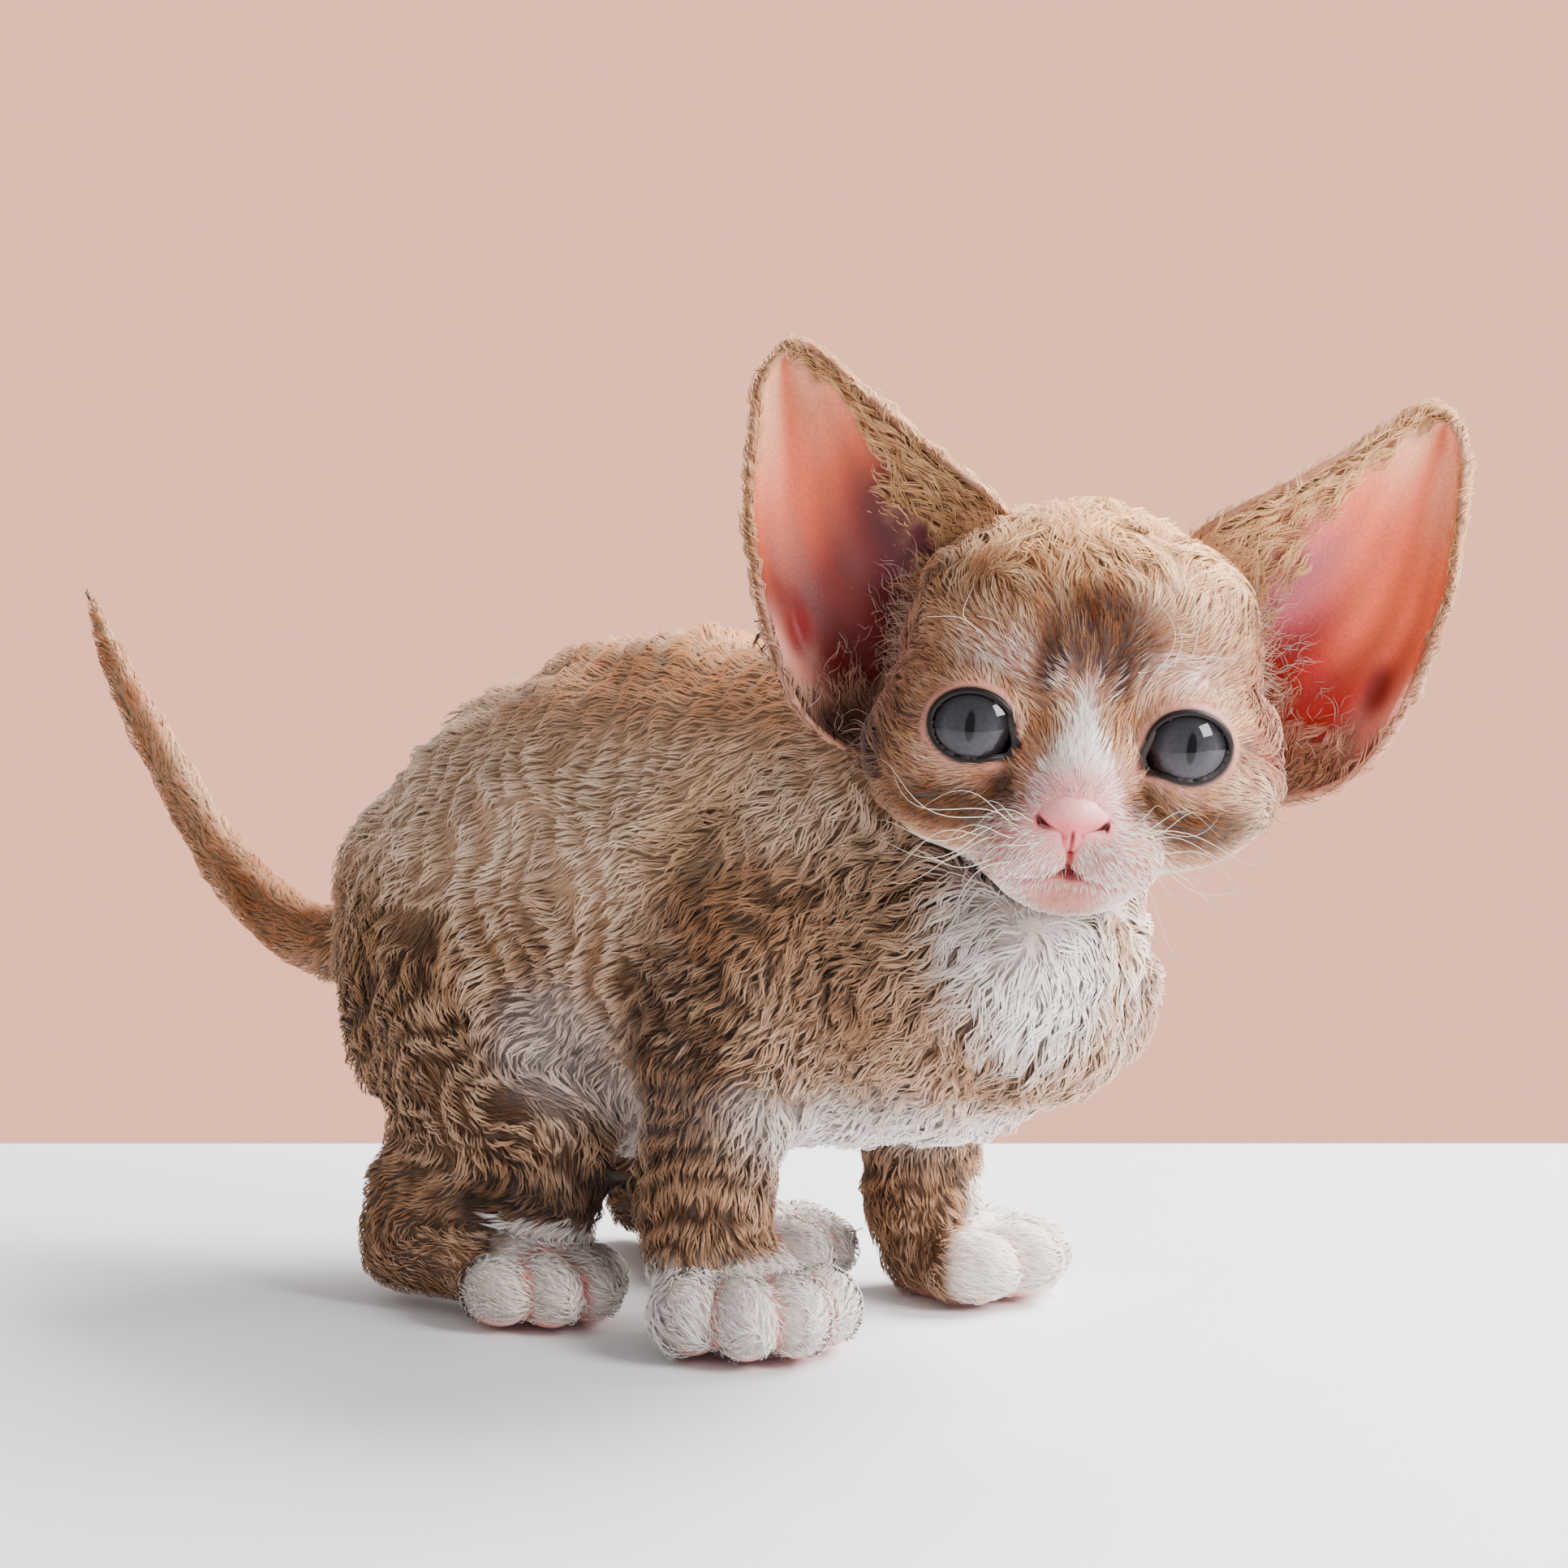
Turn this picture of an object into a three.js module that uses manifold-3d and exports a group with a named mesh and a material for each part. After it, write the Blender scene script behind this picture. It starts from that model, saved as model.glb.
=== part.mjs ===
// A Devon Rex kitten, life size: it stands half crouched on its four paws, and turns its head to its right.
// Millimetres. +X is the way the body faces, +Y is its left side and +Z is up. The right forepaw's toes are at X = 0
// while the kitten is laid out, and the whole is moved to the middle of its own box at the end.
import * as THREE from "three";
import { mergeVertices } from "three/addons/utils/BufferGeometryUtils.js";
import Module from "manifold-3d";

const wasm = await Module();
wasm.setup();

// Driving sizes
const GAP = 0.3; // between pieces that touch
const FAR = 400; // larger than the kitten, for trimming blocks

// The trunk from the rump to the throat. Each row is a section: centre x, y, z, half width, reach up, reach down.
const TRUNK = [
  [-86, -3, 44, 12, 11, 14],
  [-79, -3, 48, 20, 20, 23],
  [-63, -3, 55, 27, 30, 33],
  [-40, -2, 60, 30, 38, 41],
  [-14, 0, 60, 29, 40, 37],
  [10, 1, 57, 28, 38, 31.5],
  [28, 1, 55, 25, 28, 24.5],
  [40, 0, 56.5, 19.5, 17.5, 17],
  [46, 0, 57, 10, 8.5, 8.5],
];
const TRUNK_PARTING = -14; // where the chest meets the rest of the trunk

// The waved coat, in rounded clumps: half length, half width and height of one, how far its tip lifts, how far it
// is bent aside, how far its root is sunk, and the depth from the tips of the clumps to the body under them
const CLUMP = { long: 10, wide: 7, high: 3.6, lift: 0.6, bend: 2, sunk: 0.8 };
const COAT = 2.4;

// The head: where its middle is, and how it is turned, in degrees
const HEAD = { x: 43.7, y: -5.1, z: 91, turn: -53, raise: 4, lean: 5.7 };

const point = (x, y, z) => new THREE.Vector3(x, y, z);

// A closed geometry as a solid, and a solid as a geometry
function solid(geometry) {
  const bare = new THREE.BufferGeometry();
  bare.setAttribute("position", geometry.getAttribute("position"));
  if (geometry.index) bare.setIndex(geometry.index);
  const merged = mergeVertices(bare, 1e-4);
  return new wasm.Manifold(
    new wasm.Mesh({
      numProp: 3,
      vertProperties: merged.attributes.position.array,
      triVerts: new Uint32Array(merged.index.array),
    }),
  );
}

function geometryOf(made) {
  const mesh = made.getMesh();
  const position = new Float32Array(mesh.numVert * 3);
  for (let i = 0; i < mesh.numVert; i++)
    for (let k = 0; k < 3; k++) position[3 * i + k] = mesh.vertProperties[mesh.numProp * i + k];
  const geometry = new THREE.BufferGeometry();
  geometry.setAttribute("position", new THREE.BufferAttribute(position, 3));
  geometry.setIndex(new THREE.BufferAttribute(new Uint32Array(mesh.triVerts), 1));
  geometry.computeVertexNormals();
  return geometry;
}

const join = (solids) => wasm.Manifold.union(solids);

// The largest closed body of a solid, which drops what a cut leaves loose
function largest(made) {
  return made.decompose().reduce((best, body) => (body.volume() > best.volume() ? body : best));
}

// A block that fills all on one side of a plane: the side that the normal points to
function halfSpace(onPlane, normal) {
  const block = new THREE.BoxGeometry(FAR, FAR, FAR);
  block.translate(0, 0, FAR / 2);
  block.applyQuaternion(new THREE.Quaternion().setFromUnitVectors(point(0, 0, 1), normal.clone().normalize()));
  block.translate(onPlane.x, onPlane.y, onPlane.z);
  return solid(block);
}

// An ellipsoid in place, with its own axes turned by a matrix where one is given
function ellipsoid(centre, radii, around = 12, rings = 8, turned = null) {
  const ball = new THREE.SphereGeometry(1, around, rings);
  ball.scale(...radii);
  if (turned) ball.applyMatrix4(turned);
  ball.translate(centre.x, centre.y, centre.z);
  return solid(ball);
}

// A closed skin over rings of points, each ring the same count, with a middle point at either end
function skinOver(rings, first, last) {
  const sides = rings[0].length;
  const vertices = [first, ...rings.flat(), last];
  const at = (ring, side) => 1 + ring * sides + (side % sides);
  const index = [];
  for (let s = 0; s < sides; s++) {
    index.push(0, at(0, s + 1), at(0, s));
    index.push(vertices.length - 1, at(rings.length - 1, s), at(rings.length - 1, s + 1));
    for (let r = 0; r + 1 < rings.length; r++) {
      index.push(at(r, s), at(r, s + 1), at(r + 1, s));
      index.push(at(r, s + 1), at(r + 1, s + 1), at(r + 1, s));
    }
  }
  const geometry = new THREE.BufferGeometry();
  geometry.setAttribute(
    "position",
    new THREE.BufferAttribute(new Float32Array(vertices.flatMap((v) => [v.x, v.y, v.z])), 3),
  );
  geometry.setIndex(index);
  return geometry;
}

// A smooth value between rows of numbers, at t from 0 to 1
function between(rows, t) {
  const place = Math.min(Math.max(t, 0), 1) * (rows.length - 1);
  const i = Math.min(Math.floor(place), rows.length - 2);
  const f = place - i;
  const row = (n) => rows[Math.min(Math.max(n, 0), rows.length - 1)];
  return rows[0].map((_, k) => {
    const [a, b, c, d] = [row(i - 1)[k], row(i)[k], row(i + 1)[k], row(i + 2)[k]];
    return b + 0.5 * f * (c - a + f * (2 * a - 5 * b + 4 * c - d + f * (3 * (b - c) + d - a)));
  });
}

// A body whose rows are centre x, y, z, half width, reach up and reach down. across is the way of its width.
function loft(rows, { across = point(0, 1, 0), steps = 16, sides = 20, grow = 0 } = {}) {
  const centreAt = (t) => point(...between(rows, t).slice(0, 3));
  const frameAt = (t) => {
    const along = centreAt(Math.min(t + 0.02, 1)).sub(centreAt(Math.max(t - 0.02, 0))).normalize();
    const up = along.clone().cross(across).normalize();
    return { along, up, side: up.clone().cross(along).normalize() };
  };
  const surfaceAt = (t, angle) => {
    const [, , , wide, above, below] = between(rows, t);
    const { up, side } = frameAt(t);
    const rise = Math.sin(angle) * ((Math.sin(angle) > 0 ? above : below) + grow);
    return centreAt(t)
      .addScaledVector(side, Math.cos(angle) * (wide + grow))
      .addScaledVector(up, rise);
  };
  const rings = [];
  for (let r = 0; r <= steps; r++) {
    const ring = [];
    for (let s = 0; s < sides; s++) ring.push(surfaceAt(r / steps, (2 * Math.PI * s) / sides));
    rings.push(ring);
  }
  const endReach = (row) => 0.45 * Math.min(row[3], row[4]) + grow;
  const first = centreAt(0).addScaledVector(frameAt(0).along, -endReach(rows[0]));
  const last = centreAt(1).addScaledVector(frameAt(1).along, endReach(rows[rows.length - 1]));
  const geometry = skinOver(rings, first, last);
  return { made: outward(geometry), surfaceAt, frameAt, centreAt };
}

// The solid of a geometry whose faces may all point inwards
function outward(geometry) {
  const made = solid(geometry);
  if (made.volume() > 0) return made;
  const index = geometry.index.array;
  for (let i = 0; i < index.length; i += 3) [index[i], index[i + 1]] = [index[i + 1], index[i]];
  return solid(geometry);
}

// A solid moved by a matrix
const placed = (made, matrix) => solid(geometryOf(made).applyMatrix4(matrix));

// Numbers from -1 to 1 in an order that is the same on every run
function seeded(seed) {
  let state = seed;
  return () => {
    state = (state * 1664525 + 1013904223) % 4294967296;
    return state / 2147483648 - 1;
  };
}

// One clump of the coat: a flat ball drawn out along the lie of the coat, bent aside and lifted at its tip
function clump(root, out, lie, { size = 1, bend = 0, grow = 0 }) {
  const side = out.clone().cross(lie).normalize();
  const ball = new THREE.SphereGeometry(1, 6, 4);
  ball.rotateZ(-Math.PI / 2);
  const place = ball.getAttribute("position");
  for (let i = 0; i < place.count; i++) {
    const [u, v, w] = [place.getX(i), place.getY(i), place.getZ(i)];
    const across = v * (CLUMP.wide * size + grow) * (1 - 0.3 * u) + bend * (1 - u * u);
    const high = w * (CLUMP.high * size + grow) + CLUMP.lift * u;
    const found = root
      .clone()
      .addScaledVector(lie, u * (CLUMP.long * size + grow))
      .addScaledVector(side, across)
      .addScaledVector(out, high);
    place.setXYZ(i, found.x, found.y, found.z);
  }
  return outward(ball);
}

// Clumps in staggered rows over a lofted body, the rows evenly apart along its middle line. combed gives the lie
// from the body's own directions at a place.
function clumpsOn(form, { from, to, apart, spacing, seed, grow, combed, bare = () => false, size = 1 }) {
  const vary = seeded(seed);
  const clumps = [];
  const stops = Array.from({ length: 41 }, (_, i) => from + ((to - from) * i) / 40);
  const reached = [0];
  stops.slice(1).forEach((t, i) => {
    reached.push(reached[i] + form.centreAt(t).distanceTo(form.centreAt(stops[i])));
  });
  const rows = Math.max(1, Math.round(reached[40] / apart));
  for (let r = 0; r < rows; r++) {
    const t = stops[reached.findIndex((length) => length >= (reached[40] * (r + 0.5)) / rows)];
    const ring = Array.from({ length: 24 }, (_, i) => form.surfaceAt(t, (Math.PI * i) / 12));
    const girth = ring.reduce((sum, p, i) => sum + p.distanceTo(ring[(i + 1) % 24]), 0);
    const count = Math.max(5, Math.round(girth / spacing));
    for (let i = 0; i < count; i++) {
      const angle = (2 * Math.PI * (i + 0.5 * (r % 2) + 0.18 * vary())) / count;
      const [turn, bend, scale] = [0.3 * vary(), CLUMP.bend * vary(), size * (1 + 0.15 * vary())];
      const place = form.surfaceAt(t, angle);
      if (bare(place)) continue;
      const next = form.surfaceAt(t, angle + 0.05).sub(form.surfaceAt(t, angle - 0.05));
      const forward = form.surfaceAt(Math.min(t + 0.02, 1), angle).sub(form.surfaceAt(t - 0.02, angle));
      const out = forward.clone().cross(next).normalize();
      const { along } = form.frameAt(t);
      if (out.dot(place.clone().sub(form.centreAt(t))) < 0) out.negate();
      const lie = combed(along, place);
      lie.addScaledVector(out, -lie.dot(out)).normalize().applyAxisAngle(out, turn);
      clumps.push(clump(place.addScaledVector(out, -CLUMP.sunk), out, lie, { size: scale, bend, grow }));
    }
  }
  return clumps;
}

// Whether a place is inside a limb, or within a margin of it
const inLimb = (rows, margin) => (p) =>
  Array.from({ length: 13 }, (_, i) => between(rows, i / 12)).some(
    ([x, y, z, wide, above]) => p.distanceTo(point(x, y, z)) < Math.min(wide, above) + margin,
  );

// Head, laid out with x forward, y to its left and z up, from the point midway between the eyes' middles
const toRadians = THREE.MathUtils.degToRad;
const headMatrix = new THREE.Matrix4()
  .makeTranslation(HEAD.x, HEAD.y, HEAD.z)
  .multiply(new THREE.Matrix4().makeRotationZ(toRadians(HEAD.turn)))
  .multiply(new THREE.Matrix4().makeRotationY(-toRadians(HEAD.raise)))
  .multiply(new THREE.Matrix4().makeRotationX(-toRadians(HEAD.lean)));

// The masses of the head and of the bare nose: centre and radii, in pairs where the middle is off the centre line
const both = (x, y, z, a, b, c) => [
  [x, y, z, a, b, c],
  [x, -y, z, a, b, c],
];
const HEAD_MASSES = [
  [-8, 0, 8, 26, 24, 22], // skull
  [2, 0, 16, 18, 22, 12], // forehead
  ...both(2, 15, -4, 15, 13, 14), // cheek and cheek bone
  [12, 0, -6, 12, 9, 10], // bridge of the nose
  ...both(15.5, 5.5, -16, 9, 7.5, 6), // whisker pads
  [16, 0, -11, 8, 5.4, 5], // end of the nose
  [11, 0, -20.5, 9.5, 8, 4.6], // chin
  [-6, 0, -12, 20, 17, 12], // jaw
];
const HEAD_BLEND = 4;
const NOSE_MASSES = [
  [22.3, 0, -10.4, 3.9, 4.2, 3.1], // bulb
  ...both(21.2, 3.4, -11.8, 3.3, 2.3, 2.2), // wings round the nostrils
  [22.8, 0, -13.6, 2.4, 1.7, 1.8], // strip between the nostrils
];
const NOSE_BLEND = 2;

// How far a place is outside masses that flow into each other
function distanceTo(p, masses, blend) {
  let near = Infinity;
  for (const [x, y, z, a, b, c] of masses) {
    const [u, v, w] = [(p.x - x) / a, (p.y - y) / b, (p.z - z) / c];
    const k0 = Math.hypot(u, v, w);
    const k1 = Math.hypot(u / a, v / b, w / c);
    const d = (k0 * (k0 - 1)) / Math.max(k1, 1e-6);
    const h = Math.max(blend - Math.abs(d - near), 0) / blend;
    near = Math.min(d, near) - (near < Infinity ? (h * h * blend) / 4 : 0);
  }
  return near;
}

// Where a ray from a place inside the masses comes out of them
function outOf(masses, blend, from, way, grow = 0) {
  let [inside, outside] = [0, 70];
  for (let n = 0; n < 24; n++) {
    const middle = (inside + outside) / 2;
    if (distanceTo(from.clone().addScaledVector(way, middle), masses, blend) < grow) inside = middle;
    else outside = middle;
  }
  return from.clone().addScaledVector(way, inside);
}

// A ball whose points are pushed out to the masses, with its poles at the front and the back
function massForm(masses, blend, from, grow, around, rings) {
  const ball = new THREE.SphereGeometry(1, around, rings);
  ball.rotateZ(-Math.PI / 2);
  const place = ball.getAttribute("position");
  for (let i = 0; i < place.count; i++) {
    const way = point(place.getX(i), place.getY(i), place.getZ(i)).normalize();
    const found = outOf(masses, blend, from, way, grow);
    place.setXYZ(i, found.x, found.y, found.z);
  }
  return outward(ball);
}
const HEAD_MIDDLE = point(0, 0, -8);
const NOSE_MIDDLE = point(21.5, 0, -11.5);
const headForm = (grow = 0) => massForm(HEAD_MASSES, HEAD_BLEND, HEAD_MIDDLE, grow, 26, 22);
const noseForm = (grow = 0) => massForm(NOSE_MASSES, NOSE_BLEND, NOSE_MIDDLE, grow, 12, 8);

// The head's surface in front, at a place across and up
const onFace = (y, z) => outOf(HEAD_MASSES, HEAD_BLEND, point(0, y, z), point(1, 0, 0));

// A round bar of few sides along places, each with its own radius
function bar(places, radii) {
  const rows = places.map((p, i) => [p.x, p.y, p.z, radii[i], radii[i], radii[i]]);
  return loft(rows, { across: point(0, 0.3, 1).normalize(), steps: 2 * (rows.length - 1), sides: 5 }).made;
}

// Eyes and their lids. The opening of the lids looks a little outwards, and runs to a point at the inner corner.
const EYE = { x: 10.5, y: 14.2, z: -0.2, radius: 7.6 };
const LID = { thick: 1, wide: 6, high: 5.1, outwards: 7, corner: 7.1 };
const eyeForm = (side, grow = 0) =>
  ellipsoid(point(EYE.x, side * EYE.y, EYE.z), Array(3).fill(EYE.radius + grow), 12, 9);
function lidForm(side) {
  const look = new THREE.Matrix4().makeRotationZ(side * toRadians(LID.outwards));
  const tilt = new THREE.Matrix4().makeRotationX(side * toRadians(22));
  const front = point(EYE.x + 8, side * (EYE.y + 0.9), EYE.z);
  const opening = ellipsoid(front, [9, LID.wide, LID.high], 12, 6, look);
  const inner = point(front.x, side * (EYE.y + 0.9 - LID.corner + 1.6), EYE.z - 2.4);
  const corner = ellipsoid(inner, [9, 2.2, 0.9], 6, 4, tilt);
  return ellipsoid(point(EYE.x, side * EYE.y, EYE.z), Array(3).fill(EYE.radius + GAP + LID.thick), 14, 9)
    .subtract(opening)
    .subtract(corner);
}

// The line of the mouth under the whisker pads, and the groove from the nose down to it
const MOUTH_LINE = [
  [0, -18.2],
  [3.2, -19.4],
  [6.4, -20.2],
  [9.4, -20.2],
];
const mouthSide = (side) =>
  bar(
    MOUTH_LINE.map(([y, z]) => onFace(side * y, z)),
    [0.7, 0.6, 0.5, 0.35],
  );
const mouth = ellipsoid(onFace(0, -18.4), [2.4, 1.7, 1], 6, 4);
const groove = bar([onFace(0, -14.5), onFace(0, -16.4), onFace(0, -18.2)], [0.55, 0.5, 0.5]);
const nostril = (side) =>
  ellipsoid(
    point(25, side * 3.1, -12.5),
    [2.2, 1.5, 0.8],
    8,
    6,
    new THREE.Matrix4().makeRotationX(side * toRadians(32)),
  );

// An ear: a tapering cup between an inner and an outer rim, open to the front and bulging to the back
const EAR = {
  innerRim: [
    [-4, 9, 22],
    [-2, 15.5, 29.5],
    [-3, 30, 39],
    [-8, 45.5, 49.5],
  ],
  outerRim: [
    [-6, 24, -6],
    [-1, 36, 1],
    [-3, 47.5, 22],
    [-8, 48, 46],
  ],
  depth: 13,
  thick: 1.6,
  aside: 0.8, // both ears sit this much further left than the middle of the face
};
const POUCH = { x: -2.4, y: 40.6, z: 10, deep: 2.6, wide: 2, high: 5.4, wall: 0.7 }; // fold on the ear's outer rim
function earForm(side) {
  const [across, along] = [10, 8];
  const sheet = (offset) => {
    const rows = [];
    for (let j = 0; j <= along; j++) {
      const v = j / along;
      const inner = point(...between(EAR.innerRim, v));
      const outer = point(...between(EAR.outerRim, v));
      const bulge = EAR.depth * Math.pow(1 - v, 0.75) + 0.8;
      const thick = EAR.thick * (1 - 0.45 * v);
      const row = [];
      for (let i = 0; i <= across; i++) {
        const angle = (Math.PI * i) / across;
        const middle = inner.clone().add(outer).multiplyScalar(0.5);
        const half = outer.clone().sub(inner).multiplyScalar(0.5);
        const reach = bulge + offset * thick;
        const widen = 1 + (offset * thick * 0.6) / Math.max(half.length(), 1);
        row.push(
          middle
            .clone()
            .addScaledVector(half, -Math.cos(angle) * widen)
            .add(point(-Math.sin(angle) * reach, 0, 0)),
        );
      }
      rows.push(row);
    }
    return rows;
  };
  const [back, inside] = [sheet(1), sheet(0)];
  const vertices = [...back.flat(), ...inside.flat()];
  const count = (across + 1) * (along + 1);
  const at = (face, j, i) => face * count + j * (across + 1) + i;
  const index = [];
  const quad = (a, b, c, d) => index.push(a, b, c, a, c, d);
  for (let j = 0; j < along; j++) {
    for (let i = 0; i < across; i++) {
      quad(at(0, j, i), at(0, j, i + 1), at(0, j + 1, i + 1), at(0, j + 1, i));
      quad(at(1, j + 1, i), at(1, j + 1, i + 1), at(1, j, i + 1), at(1, j, i));
    }
    quad(at(1, j, 0), at(0, j, 0), at(0, j + 1, 0), at(1, j + 1, 0));
    quad(at(0, j, across), at(1, j, across), at(1, j + 1, across), at(0, j + 1, across));
  }
  for (let i = 0; i < across; i++) {
    quad(at(0, 0, i + 1), at(0, 0, i), at(1, 0, i), at(1, 0, i + 1));
    quad(at(0, along, i), at(0, along, i + 1), at(1, along, i + 1), at(1, along, i));
  }
  const geometry = new THREE.BufferGeometry();
  geometry.setAttribute(
    "position",
    new THREE.BufferAttribute(new Float32Array(vertices.flatMap((p) => [p.x, side * p.y + EAR.aside, p.z])), 3),
  );
  geometry.setIndex(index);
  const fold = point(POUCH.x, side * POUCH.y + EAR.aside, POUCH.z);
  const lean = new THREE.Matrix4().makeRotationX(-side * toRadians(24));
  const pouch = ellipsoid(fold, [POUCH.deep, POUCH.wide, POUCH.high], 8, 6, lean);
  const inPouch = ellipsoid(
    fold.clone().add(point(POUCH.wall, 0, POUCH.wall)),
    [POUCH.deep, POUCH.wide - POUCH.wall, POUCH.high - POUCH.wall],
    8,
    6,
    lean,
  );
  return outward(geometry).add(pouch).subtract(inPouch);
}

const headGrown = headForm(GAP);
const nose = noseForm().subtract(join([nostril(1), nostril(-1)]));
const head = largest(
  headForm()
    .add(join([lidForm(1), lidForm(-1)]))
    .subtract(join([eyeForm(1, GAP), eyeForm(-1, GAP), noseForm(GAP)]))
    .subtract(join([mouthSide(1), mouthSide(-1), mouth, groove])),
);

const headClear = placed(headGrown, headMatrix);

// Neck, from inside the chest to the back of the skull
const NECK = [
  [6, 3, 66, 23, 25, 22],
  [20, 6, 74, 22, 22, 22],
  [36, 4, 84, 20, 20, 20],
];
function neckForm(grow = 0) {
  const core = (more) => loft(NECK, { steps: 3, sides: 12, grow: more - COAT });
  const combed = (along) => along.clone().negate().add(point(0, 0, -0.5));
  const clumps = clumpsOn(core(0), { from: 0.45, to: 0.85, apart: 18, spacing: 22, seed: 5, grow, combed });
  return join([core(grow).made, ...clumps]);
}

// Legs: the rows of each stretch run down it. The paw is where its toes rest, and how far it is turned outwards.
const LEGS = {
  foreleg_right: {
    stretches: [
      [
        [2, -12, 75, 8, 13, 12],
        [-1, -16.5, 65, 13, 19, 17],
        [-6, -20, 50, 13.5, 17, 15],
        [-10, -23, 33, 12, 13.5, 13],
        [-8, -24, 18, 10.5, 11.5, 11.5],
        [-6, -24, 9, 9.5, 10, 10],
      ],
    ],
    paw: { x: -1, y: -22.5, turn: -36, size: 1.06, toes: "fore" },
  },
  foreleg_left: {
    stretches: [
      [
        [14, 9, 67, 8, 12, 11],
        [11, 14.5, 58, 12, 16, 15],
        [4, 19, 44, 11, 13, 13],
        [-2, 21, 28, 9.5, 10.5, 10.5],
        [-2, 21, 14, 8.5, 9.5, 9.5],
        [-2, 21, 8, 8, 9, 9],
      ],
    ],
    paw: { x: 2, y: 21.5, turn: 24, size: 0.98, toes: "fore" },
  },
  hindleg_right: {
    stretches: [
      [
        [-72, -9, 64, 7, 13, 13],
        [-69, -16, 54, 12, 20, 20],
        [-60, -22, 46, 13, 22, 21],
        [-48, -27, 34, 11.5, 18, 17.5],
        [-28, -27.5, 26, 9, 13.5, 12.5],
      ],
      [
        [-26, -27.5, 23, 9, 12, 11],
        [-54, -30, 19, 9.5, 11.5, 11],
        [-62, -31, 12, 9, 9, 9],
      ],
      [
        [-62, -31, 10, 8.5, 8.5, 9.5],
        [-54, -31, 9, 9, 9, 9],
        [-44, -30, 8, 9, 7.5, 7.5],
      ],
    ],
    paw: { x: -38, y: -28, turn: -16, size: 1, toes: "hind" },
  },
  hindleg_left: {
    stretches: [
      [
        [-66, 5, 62, 7, 13, 13],
        [-62, 10, 53, 12, 20, 20],
        [-50, 17, 44, 12, 20, 19],
        [-38, 20, 34, 10, 15, 15],
        [-30, 20, 27, 8, 10, 10],
      ],
      [
        [-34, 20, 29, 8, 10, 10],
        [-50, 19.5, 20, 8, 10, 10],
        [-57, 19.5, 12, 8, 8.5, 8.5],
      ],
      [
        [-57, 19.5, 10, 8, 8.5, 9.5],
        [-48, 19, 9, 8, 8, 8.5],
        [-35, 17, 8, 8.5, 7, 7.5],
      ],
    ],
    paw: { x: -28, y: 11, turn: 4, size: 1, toes: "hind" },
  },
};
const TOES = {
  fore: [
    [6, -9.5, 6, 7.5, 5.4, 5.8],
    [11, -3.6, 6.2, 8, 5, 6],
    [11, 3.4, 6.2, 8, 5, 6],
    [6, 9, 6, 7.5, 5.2, 5.8],
    [0, 0, 6, 10, 9.5, 7.5],
  ],
  hind: [
    [5, -8.5, 5.4, 7.5, 4.8, 5.4],
    [10, -3.2, 5.6, 8, 4.6, 5.6],
    [10, 3.2, 5.6, 8, 4.6, 5.6],
    [5, 8, 5.4, 7.5, 4.6, 5.4],
    [0, 0, 6, 10, 8.5, 7],
  ],
};
const floor = halfSpace(point(0, 0, 0), point(0, 0, 1));

function pawForm({ x, y, turn, size, toes }, grow = 0) {
  const turned = new THREE.Matrix4().makeRotationZ(THREE.MathUtils.degToRad(turn));
  const parts = TOES[toes].map(([px, py, pz, a, b, c]) =>
    ellipsoid(
      point(px * size, py * size, pz * size).applyMatrix4(turned).add(point(x, y, 0)),
      [a * size + grow, b * size + grow, c * size + grow],
      8,
      5,
      turned,
    ),
  );
  return largest(join(parts).intersect(floor));
}

const TAIL = [
  [-82, -3, 47, 9, 9, 9],
  [-95, -4, 45, 6.5, 6.5, 6.5],
  [-108, -4, 48, 5.8, 5.8, 5.8],
  [-119, -4, 55, 5.2, 5.2, 5.2],
  [-130, -4, 67, 4.6, 4.6, 4.6],
  [-140, -4, 80, 4, 4, 4],
  [-147, -4, 91, 3.2, 3.2, 3.2],
  [-151, -4, 100, 2, 2, 2],
];

// Trunk, in a coat that lies backwards and down, with no clumps where the legs grow out of it. The chest is the part
// ahead of the parting, hollowed a little where the head is close to it.
function trunkForm(grow = 0) {
  const core = (more) => loft(TRUNK, { steps: 11, sides: 14, grow: more - COAT });
  const limbs = Object.values(LEGS).map(({ stretches }) => inLimb(stretches[0], -1));
  const combed = (along, p) => along.clone().negate().add(point(0, 0, p.x > 20 ? -1.4 : -0.5));
  const bare = (p) => limbs.some((inside) => inside(p));
  const lay = { from: 0.05, to: 0.96, apart: 17, spacing: 17, seed: 11, grow, combed, bare };
  return join([core(grow).made, ...clumpsOn(core(0), lay)]);
}
const ahead = point(1, 0, 0);
const trunk = trunkForm().subtract(headClear);
const trunkGrown = trunkForm(GAP);
const torso = largest(trunk.subtract(halfSpace(point(TRUNK_PARTING - GAP / 2, 0, 0), ahead)));
const chest = largest(trunk.intersect(halfSpace(point(TRUNK_PARTING + GAP / 2, 0, 0), ahead)));
const neck = largest(neckForm().subtract(trunkGrown).subtract(headClear));

// A leg in its coat, which lies down it and thins out towards the paw
function legForm({ stretches }, seed) {
  const forms = stretches.map((rows) => loft(rows, { steps: 4, sides: 10, grow: -0.5 * COAT }));
  const combed = (along) => along.clone().add(point(-0.3, 0, 0));
  const lay = { from: 0.4, to: 0.92, apart: 16, spacing: 16, seed, grow: 0, combed, size: 0.82 };
  return join([...forms.map((form) => form.made), ...clumpsOn(forms[0], lay)]);
}

// Nodes: a solid each, with the colour and the roughness of its surface
const nodes = new Map();
const put = (name, made, color, roughness = 0.9) =>
  nodes.set(name, { made, material: new THREE.MeshStandardMaterial({ color, roughness, metalness: 0 }) });

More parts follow.
